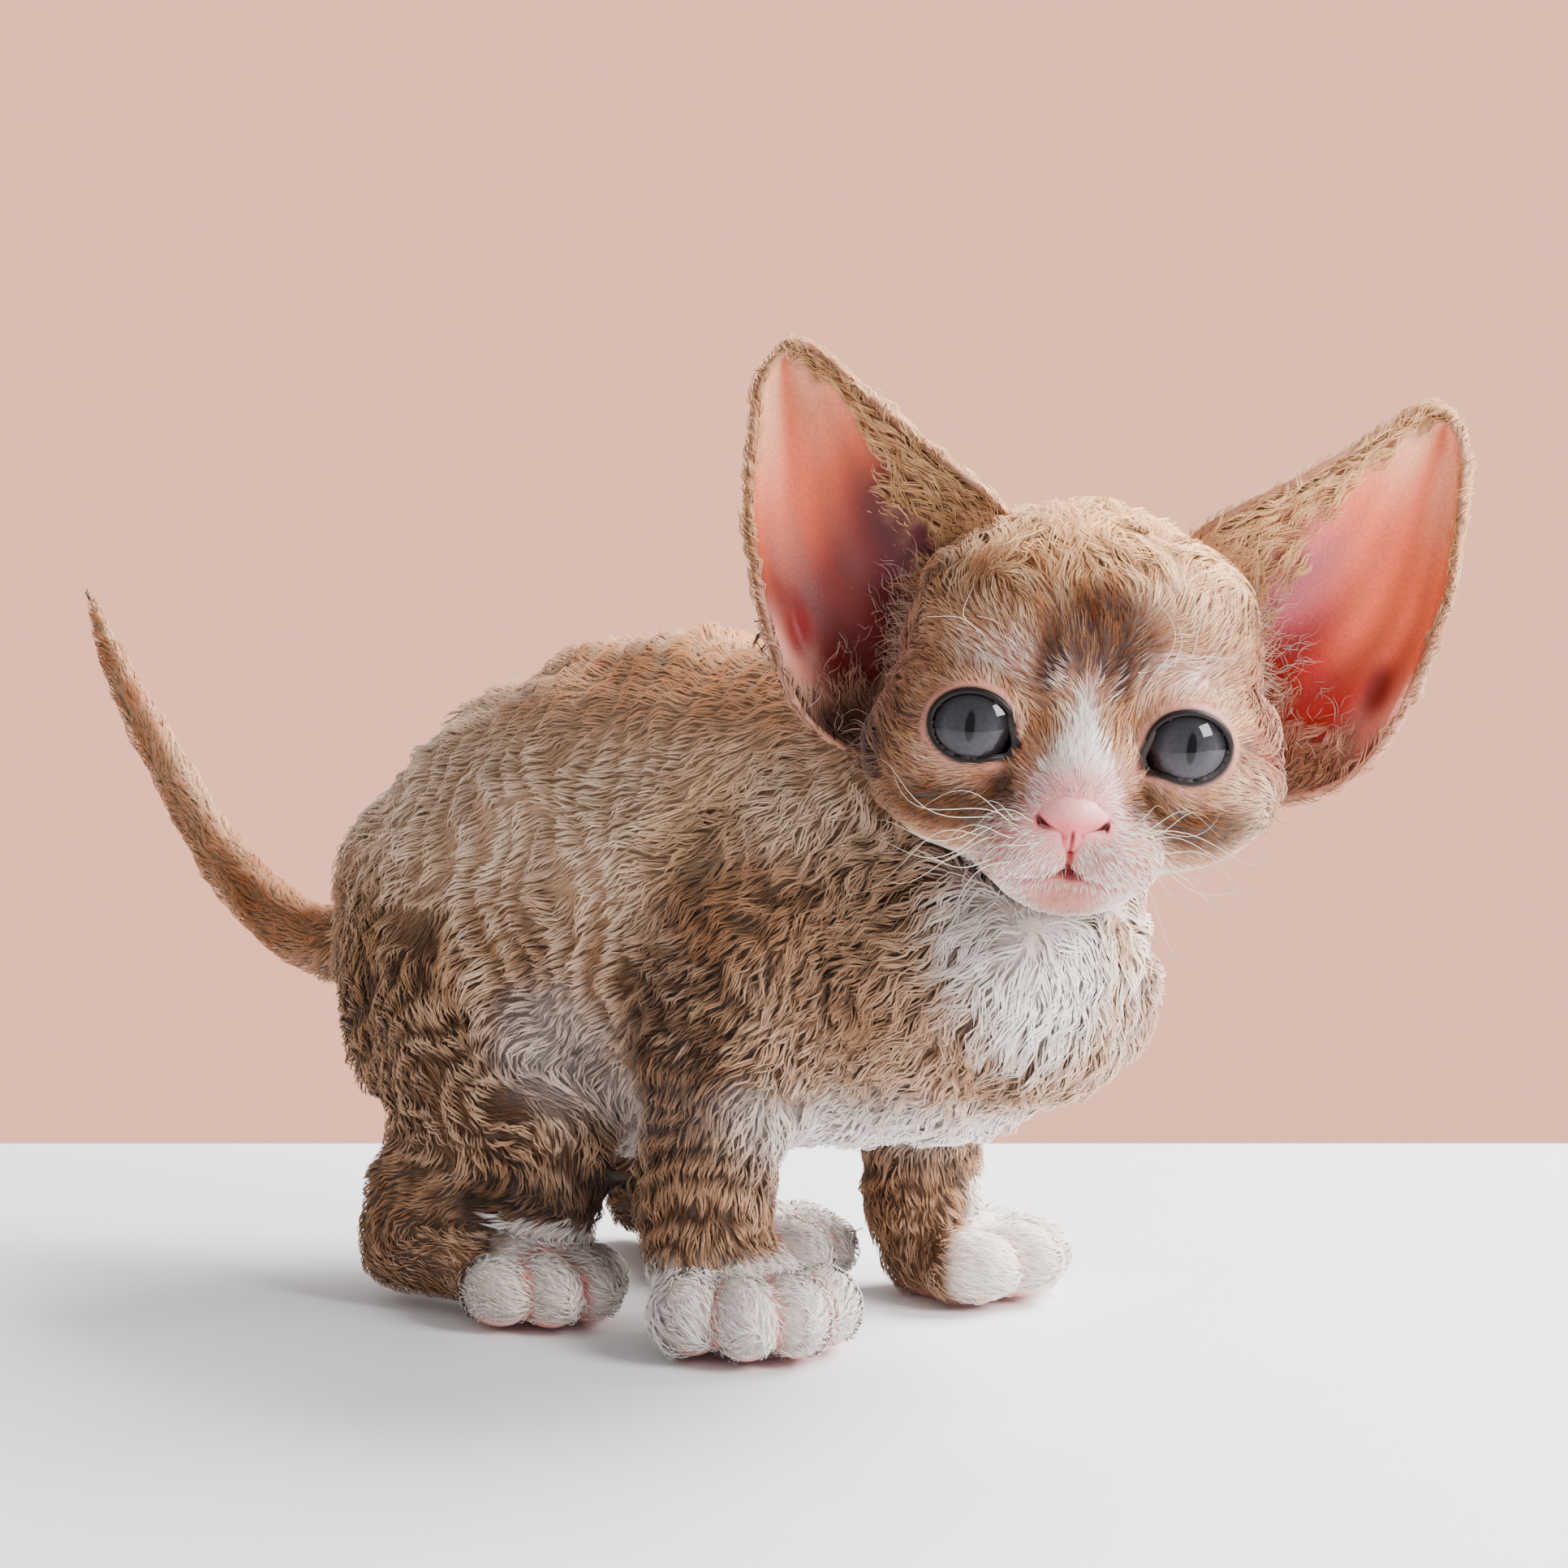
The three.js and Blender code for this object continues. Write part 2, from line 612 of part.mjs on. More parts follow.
put("torso", torso, 0xc49a74);
put("chest", chest, 0xcfb094);
put("neck", neck, 0xb98f6c);
put("head", placed(head, headMatrix), 0xc9a286);
put("nose", placed(nose, headMatrix), 0xe0808a, 0.45);
for (const [name, side] of [
  ["left", 1],
  ["right", -1],
]) {
  put("eye_" + name, placed(eyeForm(side), headMatrix), 0x5e6269, 0.08);
  const ear = placed(earForm(side).subtract(headGrown), headMatrix);
  put("ear_" + name, largest(ear.subtract(trunkGrown.add(neckForm(GAP)))), 0xd99a86, 0.6);
}
put("tail", largest(loft(TAIL, { steps: 14, sides: 10 }).made.subtract(trunkGrown)), 0xb37443);
for (const [name, limb] of Object.entries(LEGS)) {
  const { paw } = limb;
  const leg = legForm(limb, name.length);
  put(name, largest(leg.subtract(trunkGrown).subtract(pawForm(paw, GAP)).intersect(floor)), 0xb98a63);
  put(name.replace("leg", "paw"), pawForm(paw), 0xeadfd6);
}

// The kitten as a group, with the middle of its box over the origin and its paws on the floor
const cat = new THREE.Group();
for (const [name, { made, material }] of nodes) {
  const mesh = new THREE.Mesh(geometryOf(made), material);
  mesh.name = name;
  cat.add(mesh);
}
const box = new THREE.Box3().setFromObject(cat);
const middle = box.getCenter(point(0, 0, 0));
cat.position.set(-middle.x, -middle.y, -box.min.z);

export default cat;
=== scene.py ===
# A Devon Rex kitten, life size. It stands half crouched on its four paws and turns its head to its right.
# Lengths are millimetres in the kitten's own layout unless a name says metres. +X is the way the body faces.
import math

import bmesh
import bpy
import numpy as np
from mathutils import Matrix, Vector, kdtree


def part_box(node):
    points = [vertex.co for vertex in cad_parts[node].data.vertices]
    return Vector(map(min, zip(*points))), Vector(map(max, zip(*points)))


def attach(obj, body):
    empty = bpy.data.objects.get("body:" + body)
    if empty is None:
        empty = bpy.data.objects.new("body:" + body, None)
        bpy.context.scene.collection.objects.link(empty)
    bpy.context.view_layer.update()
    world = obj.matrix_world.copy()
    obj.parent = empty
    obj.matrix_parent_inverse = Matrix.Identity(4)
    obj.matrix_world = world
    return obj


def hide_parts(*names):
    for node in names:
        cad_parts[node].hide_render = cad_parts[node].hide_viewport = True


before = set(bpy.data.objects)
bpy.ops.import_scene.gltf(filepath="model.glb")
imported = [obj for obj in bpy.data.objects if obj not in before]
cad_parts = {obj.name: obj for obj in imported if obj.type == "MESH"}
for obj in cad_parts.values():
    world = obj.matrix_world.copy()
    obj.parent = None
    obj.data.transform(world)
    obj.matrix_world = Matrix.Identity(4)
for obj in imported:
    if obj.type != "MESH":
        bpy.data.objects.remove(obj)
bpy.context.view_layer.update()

# The camera. It looks at the kitten from its front right and a little above, through a long lens.
# Everything is placed from the head, which the solids carry at a known place and turn.
MM = 0.001
HEAD_PLACE = np.array((43.7, -5.1, 91.0))
HEAD_TURN, HEAD_RAISE, HEAD_LEAN = -53, 4, 5.7
EYE_CENTRE = (10.5, 14.2, -0.2)
AIM, STAND = (2.85, -18.77, 81.16), (484.5, -635.2, 191.1)
LENS, SENSOR = 128, 36

head_axes = (
    Matrix.Rotation(math.radians(HEAD_TURN), 3, "Z")
    @ Matrix.Rotation(-math.radians(HEAD_RAISE), 3, "Y")
    @ Matrix.Rotation(-math.radians(HEAD_LEAN), 3, "X")
)
eye_corners = [corner for side in ("left", "right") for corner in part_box("eye_" + side)]
between_eyes = sum(eye_corners, Vector()) / len(eye_corners) / MM
head_turned = np.array(head_axes)
LAYOUT = np.array(between_eyes - head_axes @ Vector((EYE_CENTRE[0], 0, EYE_CENTRE[2]))) - HEAD_PLACE


def in_frame(places):
    """Layout millimetres as the frame's metres."""
    return (np.asarray(places, float) + LAYOUT) * MM


def from_head(places):
    """Places beside the head, x forward, y to its left, z up, in the layout."""
    return np.asarray(places, float) @ head_turned.T + HEAD_PLACE


def to_head(places):
    return (np.asarray(places, float) - HEAD_PLACE) @ head_turned


view = bpy.data.cameras.new("view")
view.lens, view.sensor_width = LENS, SENSOR
camera = bpy.data.objects.new("view", view)
bpy.context.collection.objects.link(camera)
camera.location = in_frame(STAND)
camera.rotation_euler = Vector(in_frame(AIM) - in_frame(STAND)).to_track_quat("-Z", "Y").to_euler()
bpy.context.scene.camera = camera

# The floor and the light. A pale board under the kitten ends a hand's breadth behind it, before a rosy wall
# that is only the colour of the air. A wide window stands behind it, and a small weak one beside it.
FLOOR_WIDE, FLOOR_BEHIND, FLOOR_BEFORE = 1.6, 0.105, 0.6
WALL, SKY = (1.68, 0.81, 0.575, 1), (0.62, 0.6, 0.585, 1)
BOARD_PALE, BOARD_PALER = (0.80, 0.80, 0.83, 1), (0.86, 0.86, 0.89, 1)
LIT_PLACE = (0.05, 0, 0.08)
# Where each window stands, in metres, its width, height, watts and colour
WINDOWS = {
    "window_behind": ((0.35, 0.75, 0.75), 0.8, 0.6, 62, (1, 0.97, 0.94)),
    "window_side": ((0.85, 0.05, 0.55), 0.35, 0.35, 14, (1, 0.98, 0.96)),
}

floor_form = bmesh.new()
bmesh.ops.create_grid(floor_form, x_segments=1, y_segments=1, size=0.5)
bmesh.ops.scale(floor_form, verts=floor_form.verts, vec=(FLOOR_BEHIND + FLOOR_BEFORE, FLOOR_WIDE, 1))
bmesh.ops.translate(floor_form, verts=floor_form.verts, vec=((FLOOR_BEHIND - FLOOR_BEFORE) / 2, 0, 0))
view_turn = math.atan2(AIM[1] - STAND[1], AIM[0] - STAND[0])
bmesh.ops.rotate(floor_form, verts=floor_form.verts, matrix=Matrix.Rotation(view_turn, 3, "Z"))
floor_mesh = bpy.data.meshes.new("floor")
floor_form.to_mesh(floor_mesh)
floor = bpy.data.objects.new("floor", floor_mesh)
bpy.context.collection.objects.link(floor)


def material(name, **constants):
    """A new material, its Principled shader with the constants set on its own sockets, and its tree."""
    made = bpy.data.materials.new(name)
    made.use_nodes = True
    shader = made.node_tree.nodes["Principled BSDF"]
    for socket, value in constants.items():
        shader.inputs[socket.replace("_", " ")].default_value = value
    return made, shader, made.node_tree


def node(tree, kind, **settings):
    """A node of a kind. Settings that are its sockets are given by name, the rest are its own properties."""
    made = tree.nodes.new(kind)
    for name, value in settings.items():
        if hasattr(made, name):
            setattr(made, name, value)
            continue
        for socket in made.inputs:
            if socket.name == name.replace("_", " ") and socket.enabled:
                socket.default_value = value
    return made


def join(tree, *links):
    """Links of giver, output, taker and socket, between sockets in use, as a Mix node has more of a name."""
    for giver, output, taker, socket in links:
        out = next(s for s in giver.outputs if s.name == output and s.enabled)
        into = next(s for s in taker.inputs if s.name == socket and s.enabled)
        tree.links.new(out, into)


board, shader, tree = material("pale_board", Roughness=0.5)
place = node(tree, "ShaderNodeTexCoord")
grain = node(tree, "ShaderNodeTexNoise", Scale=40, Detail=4)
shade = node(tree, "ShaderNodeMix", data_type="RGBA", A=BOARD_PALE, B=BOARD_PALER)
join(
    tree,
    (place, "Object", grain, "Vector"),
    (grain, "Fac", shade, "Factor"),
    (shade, "Result", shader, "Base Color"),
)
floor_mesh.materials.append(board)

air = bpy.data.worlds.new("air")
air.use_nodes = True
seen = node(air.node_tree, "ShaderNodeLightPath")
wall = node(air.node_tree, "ShaderNodeMix", data_type="RGBA", A=SKY, B=WALL)
join(
    air.node_tree,
    (seen, "Is Camera Ray", wall, "Factor"),
    (wall, "Result", air.node_tree.nodes["Background"], "Color"),
)
bpy.context.scene.world = air

for name, (place, wide, high, watts, colour) in WINDOWS.items():
    lit = bpy.data.lights.new(name, "AREA")
    lit.shape, lit.size, lit.size_y = "RECTANGLE", wide, high
    lit.energy, lit.color = watts, colour
    lamp = bpy.data.objects.new(name, lit)
    bpy.context.collection.objects.link(lamp)
    lamp.location = place
    lamp.rotation_euler = (Vector(LIT_PLACE) - Vector(place)).to_track_quat("-Z", "Y").to_euler()

# The skin of the body: one hide over trunk, neck, legs, paws and tail. It is the solids' own flesh, closed
# over the cuts between them, with the clumps of the coat relaxed away and the depth of the coat taken off.
FLESH = ["torso", "chest", "neck", "tail"]
FLESH += [limb + side for limb in ("foreleg", "hindleg") for side in ("_right", "_left")]
FEET = [limb + side for limb in ("forepaw", "hindpaw") for side in ("_right", "_left")]
CUT, GRAIN = 0.3, 1.32  # the gap between the solids, and the mesh of the hide
RELAX_ROUNDS, RELAX_SHARE = 55, 0.5
BODY_DEPTH, PAW_DEPTH = 1.1, 0.4  # how far the hide lies inside the coat's tips
PAW_TOP, OVER_FLOOR, TAIL_FROM = 13, 0.15, -95
# Toes and the body of a paw, from its middle and pointing forward: centre and radii
TOES = {
    "fore": [(6, -9.5, 6, 7.5, 5.4, 5.8), (11, -3.6, 6.2, 8, 5, 6), (11, 3.4, 6.2, 8, 5, 6),
             (6, 9, 6, 7.5, 5.2, 5.8), (0, 0, 6, 10, 9.5, 7.5)],
    "hind": [(5, -8.5, 5.4, 7.5, 4.8, 5.4), (10, -3.2, 5.6, 8, 4.6, 5.6), (10, 3.2, 5.6, 8, 4.6, 5.6),
             (5, 8, 5.4, 7.5, 4.6, 5.4), (0, 0, 6, 10, 8.5, 7)],
}
# The paws: where each middle stands, which way it points, its size and kind
PAWS = [
    (-1, -22.5, -36, 1.06, "fore"), (2, 21.5, 24, 0.98, "fore"),
    (-38, -28, -16, 1, "hind"), (-28, 11, 4, 1, "hind"),
]


def mesh_of(form, name):
    made = bpy.data.meshes.new(name)
    form.to_mesh(made)
    form.free()
    return made


def shown(mesh, name):
    made = bpy.data.objects.new(name, mesh)
    bpy.context.collection.objects.link(made)
    return made


def read(items, name, wide, kind=float):
    """One value of each of a mesh's items, as rows of numbers."""
    values = np.empty(len(items) * wide, kind)
    items.foreach_get(name, values)
    return values.reshape(-1, wide)


def places_of(mesh):
    return read(mesh.vertices, "co", 3) / MM - LAYOUT


def put_places(mesh, places):
    mesh.vertices.foreach_set("co", in_frame(places).ravel())
    mesh.update()


def normals_of(mesh):
    return read(mesh.vertex_normals, "vector", 3)


def finished(piece):
    """The piece's mesh with its modifiers applied."""
    ready = bpy.data.meshes.new_from_object(piece.evaluated_get(bpy.context.evaluated_depsgraph_get()))
    piece.modifiers.clear()
    piece.data = ready
    return ready


def relax(places, edges, rounds, share):
    """Places drawn towards the middle of their neighbours, each by its own share, over and over."""
    count = np.bincount(edges.ravel(), minlength=len(places))
    for _ in range(rounds):
        for k in range(3):
            total = np.bincount(edges[:, 0], places[edges[:, 1], k], len(places))
            total += np.bincount(edges[:, 1], places[edges[:, 0], k], len(places))
            places[:, k] += share * (total / count - places[:, k])
    return places


def smoothstep(value, low, high):
    t = np.clip((value - low) / (high - low), 0, 1)
    return t * t * (3 - 2 * t)


def in_paw(places, paw):
    """Places in the layout as seen from a paw's middle, pointing forward, at the size of the toes' table."""
    x, y, turn, size, _ = paw
    away = (places - (x, y, 0)) / size
    c, s = math.cos(math.radians(turn)), math.sin(math.radians(turn))
    return np.column_stack((away[:, 0] * c + away[:, 1] * s, away[:, 1] * c - away[:, 0] * s, away[:, 2]))


def toe_distances(places, paw):
    """How far places are outside each toe, and outside the body of the paw."""
    inside = in_paw(places, paw)
    return np.array([distance_to(inside, [toe], 1) for toe in TOES[paw[4]]]) * paw[3]


def distance_to(places, masses, blend):
    """How far places are outside masses that flow into each other."""
    near = np.full(len(places), np.inf)
    for *middle, a, b, c in masses:
        shares = (places - middle) / (a, b, c)
        k0 = np.linalg.norm(shares, axis=1)
        k1 = np.linalg.norm(shares / (a, b, c), axis=1)
        distance = k0 * (k0 - 1) / np.maximum(k1, 1e-6)
        h = np.maximum(blend - np.abs(distance - near), 0) / blend
        near = np.minimum(distance, near) - np.where(np.isfinite(near), h * h * blend / 4, 0)
    return near


hide_form = bmesh.new()
for name in FLESH:
    hide_form.from_mesh(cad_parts[name].data)
bmesh.ops.remove_doubles(hide_form, verts=hide_form.verts, dist=1e-6)
hide_form.normal_update()
for vert in hide_form.verts:
    vert.co += vert.normal * CUT * MM
for x, y, turn, size, kind in PAWS:
    turned = Matrix.Rotation(math.radians(turn), 4, "Z")
    for *middle, a, b, c in TOES[kind]:
        spot = turned @ Matrix.Translation(Vector(middle) * size * MM)
        spot = Matrix.Translation(in_frame((x, y, 0))) @ spot
        sized = Matrix.Diagonal((a * size * MM, b * size * MM, c * size * MM, 1))
        bmesh.ops.create_icosphere(hide_form, subdivisions=3, radius=1, matrix=spot @ sized)
hide = shown(mesh_of(hide_form, "skin"), "skin")
remesh = hide.modifiers.new("hide", "REMESH")
remesh.mode, remesh.voxel_size = "VOXEL", GRAIN * MM
hide_mesh = finished(hide)
places = places_of(hide_mesh)
on_leg = 1 - smoothstep(places[:, 2], PAW_TOP - 4, PAW_TOP + 3)
hide_edges = read(hide_mesh.edges, "vertices", 2, int)
places = relax(places, hide_edges, RELAX_ROUNDS, RELAX_SHARE * (1 - 0.93 * on_leg))
put_places(hide_mesh, places)
depth = np.where(places[:, 2] < PAW_TOP, PAW_DEPTH, BODY_DEPTH) * (1 - 0.5 * (places[:, 0] < TAIL_FROM))
places -= normals_of(hide_mesh) * depth[:, None]
for paw in PAWS:
    off = toe_distances(places, paw).min(axis=0) + 0.5
    close = (np.abs(off) < 2.2) & (in_paw(places, paw)[:, 0] > 2) & (places[:, 2] < PAW_TOP)
    places[close] -= normals_of(hide_mesh)[close] * off[close, None]
places[:, 2] = np.maximum(places[:, 2], OVER_FLOOR)
put_places(hide_mesh, places)

# The skin of the head: masses of skull, cheeks, muzzle and jaw that flow into each other, with sockets for
# the eyes, the mound of the lids over them, the groove under the nose, and the line of the mouth.
HEAD_MIDDLE = np.array((0, 0, -8.0))
HEAD_BLEND, LID_BLEND, HEAD_DEPTH = 4, 2, 0.5


def both(x, y, z, a, b, c):
    return [(x, y, z, a, b, c), (x, -y, z, a, b, c)]


HEAD_MASSES = [
    (-8, 0, 8, 26, 24, 22),  # skull
    (2, 0, 16, 18, 22, 12),  # forehead
    *both(2, 15, -4, 15, 13, 14),  # cheek and cheek bone
    (12, 0, -6, 12, 9, 10),  # bridge of the nose
    *both(15.5, 5.5, -16, 9, 7.5, 6),  # whisker pads
    (16, 0, -11, 8, 5.4, 5),  # end of the nose
    (11, 0, -20.5, 9.5, 8, 4.6),  # chin
    (-6, 0, -12, 20, 17, 12),  # jaw
]
EYE_RADIUS, LID_THICK = 7.6, 0.8
LID_MASSES = both(*EYE_CENTRE, *[EYE_RADIUS + LID_THICK] * 3)


def head_distance(places):
    head, lids = distance_to(places, HEAD_MASSES, HEAD_BLEND), distance_to(places, LID_MASSES, 0.1)
    h = np.maximum(LID_BLEND - np.abs(head - lids), 0) / LID_BLEND
    return np.minimum(head, lids) - h * h * LID_BLEND / 4


def out_of(distance, middle, ways, reach=70):
    """Where rays from the middle come out of a form, with the form's distance given as a function."""
    inside, outside = np.zeros(len(ways)), np.full(len(ways), float(reach))
    for _ in range(24):
        half = (inside + outside) / 2
        within = distance(middle + ways * half[:, None]) < 0
        inside, outside = np.where(within, half, inside), np.where(within, outside, half)
    return middle + ways * inside[:, None]


def ball(around, rings, denser=1.0):
    """A ball of unit size with its poles in front and behind, its rings closer together in front."""
    form = bmesh.new()
    bmesh.ops.create_uvsphere(form, u_segments=around, v_segments=rings, radius=1)
    bmesh.ops.rotate(form, verts=form.verts, matrix=Matrix.Rotation(math.radians(90), 3, "Y"))
    mesh = mesh_of(form, "ball")
    ways = read(mesh.vertices, "co", 3)
    from_front = np.arccos(np.clip(ways[:, 0], -1, 1))
    moved = math.pi * (from_front / math.pi) ** denser
    ring = np.maximum(np.linalg.norm(ways[:, 1:], axis=1), 1e-9)
    return mesh, np.column_stack((np.cos(moved), ways[:, 1:] / ring[:, None] * np.sin(moved)[:, None]))


# The opening of the lids, looked at along each eye: an ellipse that runs to a point at its lower inner corner
LID_OUTWARDS, LID_WIDE, LID_HIGH = 7, 5.5, 4.55
CORNER_AT, CORNER_LONG, CORNER_WIDE = 207, 1.9, 17


def opening_reach(angle):
    """Half the opening at an angle in degrees, from the outer side upwards."""
    turn = np.radians(angle)
    ellipse = 1 / np.hypot(np.cos(turn) / LID_WIDE, np.sin(turn) / LID_HIGH)
    return ellipse + CORNER_LONG * np.exp(-(((angle - CORNER_AT + 180) % 360 - 180) / CORNER_WIDE) ** 2)


def eye_middle(side):
    return np.array(EYE_CENTRE) * (1, side, 1)


def at_eye(places, side):
    """Places beside the head as seen along an eye: forward, outwards and up from its middle."""
    turn = math.radians(side * LID_OUTWARDS)
    x, y, z = (places - eye_middle(side)).T
    forward = x * math.cos(turn) + y * math.sin(turn)
    outwards = side * (y * math.cos(turn) - x * math.sin(turn))
    return np.column_stack((forward, outwards, z))


def from_eye(places, side):
    turn = math.radians(side * LID_OUTWARDS)
    forward, outwards, z = np.asarray(places, float).T
    x = forward * math.cos(turn) - side * outwards * math.sin(turn)
    y = side * outwards * math.cos(turn) + forward * math.sin(turn)
    return np.column_stack((x, y, z)) + eye_middle(side)


def lid_reach(places, side):
    """How far places are outside the opening of the lids, in millimetres across it."""
    forward, outwards, up = at_eye(places, side).T
    angle = np.degrees(np.arctan2(up, outwards)) % 360
    return np.where(forward > 0, np.hypot(outwards, up) - opening_reach(angle), 99)


NOSE_MASSES = [
    (21.4, 0, -10.2, 3.9, 4.2, 3.0),  # bulb
    *both(20.4, 3.6, -12.0, 3.2, 2.3, 2.1),  # wings round the nostrils
    (21.8, 0, -13.6, 2.4, 1.7, 2.0),  # strip between the nostrils
]
MOUTH_LINE = [(0, -14.8), (0, -16.6), (0, -18.2), (3.2, -19.4), (6.4, -20.2), (9.4, -20.0)]
MOUTH_WIDE, MOUTH_DEEP, FRONT = 0.55, 1.0, 8


def line_distance(places, line):
    """How far places are from a line through points, and how far along it, from 0 to 1."""
    line = np.asarray(line, float)
    best, along = np.full(len(places), np.inf), np.zeros(len(places))
    for i, (start, end) in enumerate(zip(line[:-1], line[1:])):
        way = end - start
        t = np.clip((places - start) @ way / (way @ way), 0, 1)
        distance = np.linalg.norm(places - start - t[:, None] * way, axis=1)
        nearer = distance < best
        best = np.where(nearer, distance, best)
        along = np.where(nearer, (i + t) / (len(line) - 1), along)
    return best, along


def mouth_distance(places):
    """How far places beside the head are from the line of the mouth, seen in front, and how far along it."""
    return line_distance(np.column_stack((np.abs(places[:, 1]), places[:, 2])), MOUTH_LINE)


def unit(ways):
    """Directions of unit length."""
    return ways / np.maximum(np.linalg.norm(ways, axis=-1), 1e-9)[..., None]


head_mesh, ways = ball(276, 160, 1.35)
face = out_of(head_distance, HEAD_MIDDLE, ways)
outwards = unit(face - HEAD_MIDDLE)
in_front = face[:, 0] > FRONT
to_mouth, along_mouth = mouth_distance(face)
mouth_cut = np.exp(-((to_mouth / MOUTH_WIDE) ** 2)) * (1 - 0.6 * along_mouth) * in_front
to_lips = np.hypot(face[:, 1] / 1.6, (face[:, 2] + 18.7) / 0.9)
mouth_cut += 1.2 * np.exp(-(to_lips**4)) * in_front
face = face - outwards * (HEAD_DEPTH + MOUTH_DEEP * mouth_cut)[:, None]
for side in (1, -1):
    reach = lid_reach(face, side)
    crease = np.exp(-(((reach - 2.3) / 0.5) ** 2)) * (at_eye(face, side)[:, 2] > 0)
    face -= outwards * (0.35 * crease)[:, None]
    from_middle = face - eye_middle(side)
    far = np.linalg.norm(from_middle, axis=1)
    slope = EYE_RADIUS + 0.3 + 0.5 * reach.clip(0)
    low = (reach < 6) & (far > slope)
    face[low] = eye_middle(side) + from_middle[low] * (slope / far)[low, None]
    inside = reach < 0
    face[inside] = eye_middle(side) + unit(face[inside] - eye_middle(side)) * (EYE_RADIUS - 1)
beneath = np.clip(-distance_to(face, NOSE_MASSES, 2), 0, 0.8) / 0.8
face -= outwards * (2.6 * beneath)[:, None]
put_places(head_mesh, from_head(face))

# The ears: tall thin cups of gristle and skin, set far apart and low on the head, with a small fold on the
# outer rim. Each is one sheet, bent round between its inner and outer rims and given its thickness.
EAR_INNER = [(-4, 9, 22), (-2, 15.5, 29.5), (-3, 30, 39), (-8, 44, 49.5)]
EAR_OUTER = [(-6, 25, -8), (-1, 39, -1), (-3, 48, 22), (-8, 49, 45)]
EAR_DEEP, EAR_THICK, EAR_ASIDE = 13, 1.1, 0.8
EAR_ACROSS, EAR_ALONG, EAR_ROUND = 48, 64, 0.92
FOLD_AT, FOLD_DEEP = (0.9, 0.47), 3.2


def between(rows, t):
    """A smooth value between rows of numbers, at t from 0 to 1."""
    rows = np.asarray(rows, float)
    place = np.clip(t, 0, 1) * (len(rows) - 1)
    i = np.minimum(place.astype(int), len(rows) - 2)
    f = (place - i)[:, None]
    a, b, c, d = (rows[np.clip(i + k, 0, len(rows) - 1)] for k in (-1, 0, 1, 2))
    return b + 0.5 * f * (c - a + f * (2 * a - 5 * b + 4 * c - d + f * (3 * (b - c) + d - a)))


def ear_surface(across, along, side):
    """The inside of an ear: across from its inner to its outer rim, and along from its root to its tip."""
    inner, outer = between(EAR_INNER, along), between(EAR_OUTER, along)
    angle = np.pi * across
    deep = EAR_DEEP * np.maximum(1 - along, 0) ** 0.75 + 0.8
    rounded = np.sqrt(np.clip(1 - ((along - EAR_ROUND) / (1 - EAR_ROUND)).clip(0) ** 2, 0, 1))
    fold = np.exp(-(((across - FOLD_AT[0]) / 0.07) ** 2) - ((along - FOLD_AT[1]) / 0.08) ** 2)
    pocket = np.exp(-(((across - FOLD_AT[0] + 0.1) / 0.05) ** 2) - ((along - FOLD_AT[1]) / 0.06) ** 2)
    ridges = np.sin(across * 30 + 2 + 3 * along) * np.sin(angle) ** 2
    ridges *= np.exp(-(((along - 0.38) / 0.25) ** 2))
    made = (inner + outer) / 2 - (outer - inner) / 2 * (np.cos(angle) * rounded)[:, None]
    made[:, 0] += 0.45 * ridges + FOLD_DEEP * (fold - 0.7 * pocket) - np.sin(angle) * deep
    made[:, 1] = side * made[:, 1] + EAR_ASIDE
    return made


def ear(side):
    form = bmesh.new()
    bmesh.ops.create_grid(form, x_segments=EAR_ACROSS, y_segments=EAR_ALONG, size=0.5)
    form.verts.ensure_lookup_table()
    grid = np.array([vert.co for vert in form.verts]) + 0.5
    spots = ear_surface(grid[:, 0], grid[:, 1], side)
    for vert, spot in zip(form.verts, spots):
        vert.co = spot
    bmesh.ops.remove_doubles(form, verts=form.verts, dist=0.03)
    bmesh.ops.recalc_face_normals(form, faces=form.faces)
    form.faces.ensure_lookup_table()
    if form.faces[len(form.faces) // 2].normal.x < 0:
        bmesh.ops.reverse_faces(form, faces=form.faces)
    bmesh.ops.solidify(form, geom=form.faces[:], thickness=EAR_THICK)
    mesh = mesh_of(form, "ear")
    put_places(mesh, from_head(read(mesh.vertices, "co", 3)))
    return mesh


# Body, head and ears grow together into the one skin, which replaces the flesh of the solids
def grow_together(base, mesh):
    added = shown(mesh, "added")
    union = base.modifiers.new("union", "BOOLEAN")
    union.operation, union.solver, union.object = "UNION", "MANIFOLD", added
    finished(base)
    bpy.data.objects.remove(added)


head_skin = shown(head_mesh, "head_skin")
for side in (1, -1):
    grow_together(head_skin, ear(side))
grow_together(hide, head_skin.data)
bpy.data.objects.remove(head_skin)
skin, skin_mesh = hide, hide.data
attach(skin, "root")
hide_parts(*FLESH, *FEET, "head", "ear_left", "ear_right")

